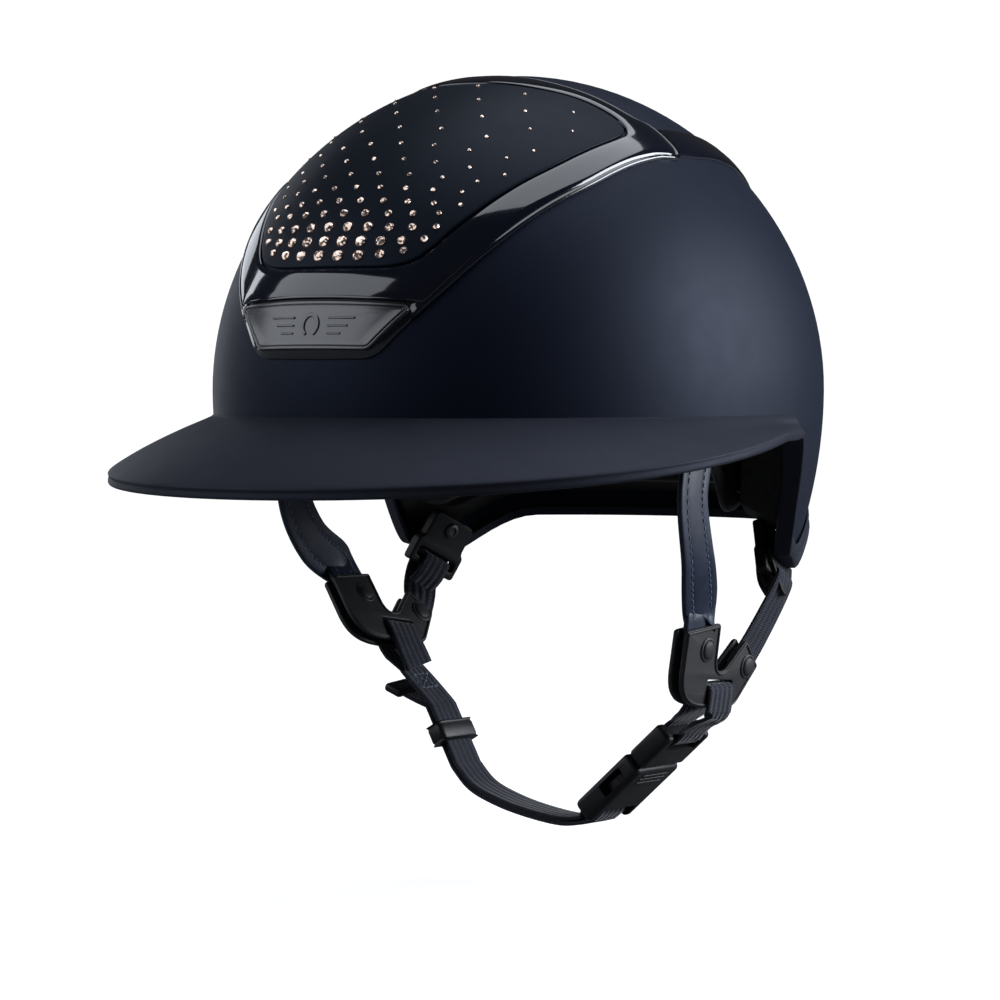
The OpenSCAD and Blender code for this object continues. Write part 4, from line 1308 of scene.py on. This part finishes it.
def make_dividers():
    """Each divider is two rounded plates with a raised lip, riveted through the straps between them."""
    outline = rounded(DIVIDER_OUTLINE, DIVIDER_CORNERS, 4)
    slot = rounded([(-9.2, -0.9), (8.2, -0.9), (8.2, 4.1), (-9.2, 4.1)], 1.1)
    for side, word in ((1, "left"), (-1, "right")):
        for layer, sign in (("outer", side), ("inner", -side)):
            node = "divider_%s_%s" % (layer, word)
            middle = sign * (PLATE_GAP + PLATE_WALL) / 2
            matrix = divider_matrix(side) @ Matrix.Translation((middle, 0, 0)) @ UPRIGHT
            plate(node + "_plate", outline, [slot], PLATE_WALL, matrix, CHARCOAL, edge=0.5, replaces=[node])
            lip = [matrix @ Vector((p.x, p.y, sign * PLATE_WALL * 0.46)) for p in inset_loop(outline, 1.0)]
            bead(node + "_lip", lip, 0.62, CHARCOAL, up=divider_dir(side, (1, 0, 0)))
    head = [(4.6, -0.2), (4.6, 0.35), (4.35, 0.55), (3.75, 0.55), (3.6, 0.3), (3.45, 0.75), (2.9, 1.1),
            (1.8, 1.3), (0.6, 1.38)]
    turned("divider_rivet_heads", head, rivet_places(1) + rivet_places(-1), CHARCOAL,
           replaces=["divider_rivets"])


def front_path(side):
    """Centre line of a front strap, from its anchor down into the divider."""
    if side > 0:
        bend = [(94, -26, -27), (91, -18, -50)]
    else:
        bend = [(-95, -22, -29), (-97, -8, -47.6)]
    top = [(side * ANCHOR.x, ANCHOR.y, 13), (side * ANCHOR.x, ANCHOR.y, -6)]
    foot = [divider_point(side, (0, y, z)) for y, z in ((-17.8, 30), (-17.2, 25.6), (-15, 10))]
    return spline(top + bend + foot, 10)


def make_front_straps():
    """Front straps of padded leather with two rows of stitches on each face."""
    width = WEB_WIDTH - 2
    places = [(x, face) for x in (-4.9, 4.9) for face in (1, -1)]
    for side, node in both_sides("front_strap"):
        path = front_path(side)
        flat_strap(node + "_leather", path, width, STRAP_WALL, (0, 1, 0), LEATHER,
                   profile=leather_profile(width, STRAP_WALL), replaces=[node])
        stitch_rows(node + "_stitches", path[6:-8], (0, 1, 0), places, STRAP_WALL * 0.43, 3.1)


def make_rear_straps():
    """Rear straps: webbing sewn round the lower bar of the clip, then down into the divider."""
    bar = [(-1.6, -13), (-3.4, -8), (-3.7, -3), (-3.2, -1.0), (-1.4, -0.6)]
    bar += [(-x, z) for x, z in reversed(bar[1:])]
    for side, node in both_sides("rear_strap"):
        turn = [clip_point(side, (side * x, 0, z)) for x, z in bar]
        foot = [divider_point(side, (0, y, z)) for y, z in ((23, 18.3), (12, 6))]
        path = spline(turn + foot, 6)
        first = clip_dir(side, (0, 1, 0))
        last = divider_dir(side, (0, 0.74, -0.68))
        wide = [first.lerp(last, smooth(46, 56, k)) for k in range(len(path))]
        flat_strap(node + "_webbing", path, WEB_WIDTH - 6, WEB_WALL, wide, WEBBING, replaces=[node])


def cross_stitch(name, middle, up, side, wide, tall, rise):
    """Sewn box with a cross on a strap."""
    up = up.normalized()
    side = square_to(side, up)
    run = up.cross(side)
    corners = [middle + up * rise + side * x * wide / 2 + run * y * tall / 2
               for x, y in ((-1, -1), (1, -1), (1, 1), (-1, 1))]
    bm = bmesh.new()
    for first, last in ((0, 1), (1, 2), (2, 3), (3, 0), (0, 2), (1, 3)):
        a, b = corners[first], corners[last]
        count = max(2, int((b - a).length / 2.2))
        for k in range(count):
            add_stitch(bm, a.lerp(b, k / count), a.lerp(b, (k + 0.75) / count), up, 0.25)
    return finish_mesh(name, bm, STITCH)


# ---------------------------------------------------------------- buckle

BUCKLE_PLACE = Vector((42, 20, -132))
BUCKLE_RISE = math.radians(41)
PRONG_PIVOT = (10.0, 7.0)
PRONG_OUTLINE = [
    (8, 5.6), (8, 8.8), (5, 9.6), (-1, 10.7), (-3, 11), (-6, 11.45), (-8.5, 11.85), (-10.5, 11), (-12.5, 9),
    (-12.5, 7.6), (-9, 8.2), (-2, 7.6), (6, 6),
]
BUCKLE = Matrix.Translation(BUCKLE_PLACE) @ Matrix.Rotation(-BUCKLE_RISE, 4, "Y")


def buckle_point(p):
    return BUCKLE @ Vector(p)


def bar_cuts(slot, thin):
    """Cuts that leave a bar for the webbing: a slot through, and the end thinned from both faces."""
    cuts = [((slot[0], -11, -10), (slot[1], 11, 10), 1.0)]
    return cuts + [((thin[0], -11, face * 12 - 10), (thin[1], 11, face * 12 + 10), 0.9) for face in (-1, 1)]


def make_socket():
    """Buckle socket: hollow, with a window at each side for the prongs and three grip ribs on each face."""
    cuts = [((-16.5, -12, -2.5), (7, 12, 2.5), 0.4)]
    cuts += [((-12.5, side * 13 - 3.4, -2.7), (-0.5, side * 13 + 3.4, 2.7), 0.9) for side in (-1, 1)]
    cuts += bar_cuts((-22.6, -18.2), (-30, -20))
    block("socket_body", (-26, -14.5, -4.8), (6, 14.5, 4.8), 2.2, BUCKLE, DARK_CHARCOAL, cuts=cuts,
          body="socket", replaces=["buckle_socket"])
    for face in (1, -1):
        for k in range(3):
            x = 2.6 - 2.2 * k
            bar = [buckle_point((x, y, face * 4.75)) for y in (-8, -7.8, -4, 0, 4, 7.8, 8)]
            bead("socket_grip_%d_%d" % (face + 1, k), bar, 0.45, DARK_CHARCOAL, closed=False, body="socket")


def make_plug():
    """Buckle plug with a bar for the webbing and the pins that the prongs turn on."""
    cuts = [((5.5, -11.7, -2.3), (14.5, 11.7, 2.3), 0.4)] + bar_cuts((17, 21.8), (19, 27))
    block("plug_body", (6.4, -14.5, -4.2), (24.8, 14.5, 4.2), 1.9, BUCKLE, DARK_CHARCOAL, cuts=cuts,
          replaces=["buckle_plug"])
    x, y = PRONG_PIVOT
    pins = [BUCKLE @ Matrix.Translation((x, side * y, 0)) for side in (-1, 1)]
    turned("plug_pins", [(1.15, -2.5), (1.15, 2.5)], pins, DARK_CHARCOAL)


def make_prongs():
    """Buckle prongs: an eye on the pivot and an arm with a hooked tip, a mirrored pair."""
    pivot = Vector((*PRONG_PIVOT, 0))
    hole = [pivot + p for p in circle(1.25, 0, 18)]
    eye = [pivot + p for p in circle(3, 0, 24)]
    arm = rounded(PRONG_OUTLINE, 0.7, 3)
    for side, word in ((-1, "front"), (1, "rear")):
        flip = BUCKLE @ Matrix.Diagonal((1, side, 1, 1))
        body = "prong_" + word
        node = "buckle_prong_" + word
        plate(node + "_eye", eye, [hole], 3.8, flip, CHARCOAL, body=body, edge=0.4)
        plate(node + "_arm", arm, [], 3.7, flip, CHARCOAL, body=body, edge=0.4, replaces=[node])
        for k in range(4):
            x = -3.4 - 1.7 * k
            y = 11.05 + 0.12 * k
            rib = [flip @ Vector((x, y, z)) for z in (-1.5, -1.4, 0, 1.4, 1.5)]
            bead("%s_grip_%d" % (node, k), rib, 0.3, CHARCOAL, closed=False, body=body,
                 up=Vector((1, 0, 0)))


# ---------------------------------------------------------------- chin webbing

KEEPER_RUN = Vector((0.5, -0.04, -0.866)).normalized()
KEEPER_SIDE = Vector((0, 1, 0)).cross(KEEPER_RUN).normalized()
KEEPER_PLACE = Vector((-51, 24, -123))
LAYER = WEB_WALL + 0.5
CHIN_WIDTH = WEB_WIDTH - 3.4
ACROSS = Vector((0, 1, 0))


def chin_main():
    """Upper layer of the chin webbing, from the right divider to the socket."""
    head = [(-71.5, 22.5, -98.4), (-64.5, 23.6, -105.2), KEEPER_PLACE - KEEPER_RUN * 12]
    rest = [KEEPER_PLACE + KEEPER_RUN * 14, (-35.5, 22.8, -142.6), (-22, 22, -147.6), (-7, 21, -150.8),
            (8, 20.4, -152.6), buckle_point((-31, 0, 1))]
    return spline(head, 8) + spline(rest, 8)


def under(path):
    """The lower layer follows the upper one, moved along its flat side."""
    return [p + ACROSS.cross(run_at(path, k)).normalized() * LAYER for k, p in enumerate(path)]


def make_chin_strap():
    """One length of webbing: round the right divider, through the keeper, round the socket's bar and back."""
    main = chin_main()
    turn = ((4.1, -8.8), (4.1, -1), (3.5, 1.3), (2, 1.9), (-2, 1.9), (-3.5, 1.3), (-4.1, -1), (-4, -8.5))
    bar = ((-27.6, 3), (-23.2, 3.2), (-21.3, 2.4), (-20.6, 0), (-21.3, -2.4), (-23.2, -3.2), (-27.6, -3))
    fold = spline([Vector((-66.9, 22.2, -97.9))] + [divider_point(-1, (x, -0.5, z)) for x, z in turn], 4)
    wrap = spline([buckle_point((x, 0, z)) for x, z in bar], 3)
    back = list(reversed(under(main)))[:-14]
    tail = [Vector((-64.4, 23.6, -111)), Vector((-69.8, 22.6, -108.6))]
    path = fold + main + wrap + back + tail
    slot_wide = divider_dir(-1, (0, 1, 0))
    count = len(fold)
    wide = [slot_wide.lerp(ACROSS, smooth(count - 4, count + 8, k)) for k in range(len(path))]
    strap = flat_strap("chin_webbing", path, CHIN_WIDTH, WEB_WALL, wide, WEBBING, body=None,
                       replaces=["chin_strap"])
    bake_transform(strap)
    outward = (main[6] - main[3]).cross(ACROSS)
    cross_stitch("chin_tacks", main[7], outward, ACROSS, 10, 7, WEB_WALL * 0.5)


def make_end_cap():
    """Moulded tip crimped on the loose end, with a slot through it."""
    run = Vector((-7.0, -1.1, 3.1)).normalized()
    matrix = frame_at((-73.9, 21.95, -106.75), run, (0, 1, 0))
    cut = ((1.2, -6.5, -5), (2.8, 6.5, 5), 0.5)
    block("end_cap_tip", (-3.9, -9.8, -1.8), (4.2, 9.8, 1.8), 1.5, matrix, DARK_CHARCOAL, cuts=[cut],
          replaces=["strap_end_cap"])


def make_keeper():
    """Wrapped band that slides along both layers."""
    middle = KEEPER_PLACE + KEEPER_SIDE * LAYER / 2
    outer = rounded_loop(WEB_WIDTH + 2, 7.2, 2.6)
    inner = rounded_loop(WEB_WIDTH - 2.6, 4.4, 1.0)
    half = [(-4, -0.5), (-3.7, -0.15), (-3, 0), (-2.4, -0.25)]
    stops = half + [(-along, grow) for along, grow in reversed(half)]

    def section(loop, along, grow):
        """The loop at a distance along the keeper's run, with its corners moved out by grow."""
        spots = [(p.x + math.copysign(grow, p.x), p.y + math.copysign(grow, p.y)) for p in loop]
        return [middle + KEEPER_RUN * along + ACROSS * x + KEEPER_SIDE * z for x, z in spots]

    rows = [section(outer, along, grow) for along, grow in stops]
    holes = [section(inner, along, 0) for along, _ in stops]
    skin("keeper_band", rows, holes, DARK_CHARCOAL, wrap=True, body="keeper", replaces=["strap_keeper"])


def rounded_loop(wide, tall, radius):
    """Outline of a rounded rectangle about its middle."""
    x, y = wide / 2, tall / 2
    return rounded([(-x, -y), (x, -y), (x, y), (-x, y)], radius, 6)


def make_buckle_loop():
    """Webbing from the left divider to the plug, sewn to itself between them."""
    turn = ((4.3, -7.8), (4.1, -1), (3.5, 1.3), (2, 1.9), (-2, 1.9), (-3.7, 1.3), (-4.7, -1), (-6, -7))
    bar = ((29, 2.6), (24.6, 3.6), (22.2, 3.5), (19.7, 2.4), (19.1, 0), (19.7, -2.4), (22.2, -3.5),
           (24.6, -3.6), (29, -3.4))
    seam = ((0.4, -12), (3.2, -10.2), (4.3, -7.2))
    points = [divider_point(1, (x, -0.5, z)) for x, z in turn]
    points += [buckle_point((x, 0, z)) for x, z in bar]
    points += [divider_point(1, (x, -0.5, z)) for x, z in seam]
    flat_strap("loop_webbing", spline(points, 5), CHIN_WIDTH, WEB_WALL, (0, 1, 0), WEBBING,
               replaces=["buckle_loop"])


# ---------------------------------------------------------------- camera, light and floor


CAMERA_TURN = math.radians(36)
CAMERA_LIFT = math.radians(2)
CAMERA_DISTANCE = 1.5
CAMERA_LENS = 141.5


def look(obj, place, aim):
    """Puts a camera or light at a place and points it at aim."""
    obj.location = place
    obj.rotation_euler = (Vector(aim) - Vector(place)).to_track_quat("-Z", "Y").to_euler()
    return link(obj)


def make_camera():
    """Camera to the wearer's left of the front and just above the brow line."""
    right = Vector((math.cos(CAMERA_TURN), math.sin(CAMERA_TURN), 0))
    aim = Vector((0, 0, -0.030)) - right * 0.009
    outward = Vector((math.sin(CAMERA_TURN) * math.cos(CAMERA_LIFT),
                      -math.cos(CAMERA_TURN) * math.cos(CAMERA_LIFT), math.sin(CAMERA_LIFT)))
    data = bpy.data.cameras.new("camera")
    data.sensor_width = 36
    data.lens = CAMERA_LENS
    data.clip_end = 50
    camera = look(bpy.data.objects.new("camera", data), aim + outward * CAMERA_DISTANCE, aim)
    bpy.context.scene.camera = camera


LIGHT_COLOR = (0.88, 0.93, 1.0)


def add_light(name, kind, energy, place, aim):
    """Light at a place, pointed at aim; its data comes back for its size to be set."""
    data = bpy.data.lights.new(name, kind)
    data.energy = energy
    data.color = LIGHT_COLOR
    look(bpy.data.objects.new(name, data), place, aim)
    return data


def softbox(name, place, size, power):
    """Area light aimed at the shell."""
    data = add_light(name, "AREA", power, place, (0, 0, 0.03))
    data.shape = "RECTANGLE"
    data.size, data.size_y = size


def camera_only(tree, hidden, shown, output):
    """Gives the camera one shader and everything else another."""
    seen = tree.nodes.new("ShaderNodeLightPath")
    blend = tree.nodes.new("ShaderNodeMixShader")
    tree.links.new(seen.outputs["Is Camera Ray"], blend.inputs[0])
    tree.links.new(hidden.outputs[0], blend.inputs[1])
    tree.links.new(shown.outputs[0], blend.inputs[2])
    tree.links.new(blend.outputs[0], tree.nodes[output].inputs[0])


def make_light():
    """A broad soft light from above, softboxes for the gloss, and a white background over a dim studio."""
    world = bpy.data.worlds.new("studio")
    world.use_nodes = True
    room = world.node_tree.nodes["Background"]
    backdrop = world.node_tree.nodes.new("ShaderNodeBackground")
    for node, color, strength in ((room, (0.9, 0.95, 1.0, 1), 0.03), (backdrop, (1, 1, 1, 1), 1.05)):
        node.inputs["Color"].default_value = color
        node.inputs["Strength"].default_value = strength
    camera_only(world.node_tree, room, backdrop, "World Output")
    bpy.context.scene.world = world
    add_light("overhead", "SUN", 1.25, (0, 0, 0), (-0.1, -0.3, -1)).angle = math.radians(60)
    softbox("front_left", (-0.95, -1.20, 0.72), (1.6, 1.25), 8.0)
    softbox("left_strip", (-1.5, -0.12, 0.30), (0.14, 0.9), 1.0)
    softbox("left_rim", (-1.4, 0.55, 0.30), (0.6, 0.9), 2.0)
    softbox("right_rim", (1.2, 1.05, 0.40), (0.9, 1.0), 23)


FLOOR_DROP = 0.022
FLOOR_SIZE = 6000


def make_floor():
    """White floor, bright to the camera but dim to the helmet, and clear of the released buckle."""
    paint = Paint("floor_white", (0.5, 0.5, 0.5), 0.9, Emission_Color=(1, 1, 1, 1), Emission_Strength=0.85)
    paint.vary_color(paint.noise(400, 2), 0.99, 1.01)
    bounce = paint.add("ShaderNodeBsdfDiffuse", Color=(0.16, 0.16, 0.16, 1))
    camera_only(paint.material.node_tree, bounce, paint.shader, "Material Output")
    bm = bmesh.new()
    bmesh.ops.create_grid(bm, x_segments=8, y_segments=8, size=FLOOR_SIZE)
    level = (cad_box[0][2] - FLOOR_DROP) / MM
    bmesh.ops.translate(bm, vec=(0, 0, level), verts=bm.verts)
    floor = finish_mesh("floor", bm, paint.material, body=None, flat=True)


# ---------------------------------------------------------------- build


make_camera()
make_light()
make_floor()
make_shell()
make_brim()
make_gloss_frame()
make_rear_frame()
make_panel()
make_stones()
make_badge_plate()
make_badge_relief()
make_intake()
make_louvres()
make_liner()
make_pads()
make_hook_dots()
make_cradle_band()
make_cradle_pivots()
make_anchors()
make_clips()
make_front_straps()
make_rear_straps()
make_dividers()
make_socket()
make_plug()
make_prongs()
make_chin_strap()
make_end_cap()
make_keeper()
make_buckle_loop()
bpy.context.scene.view_settings.view_transform = "Standard"
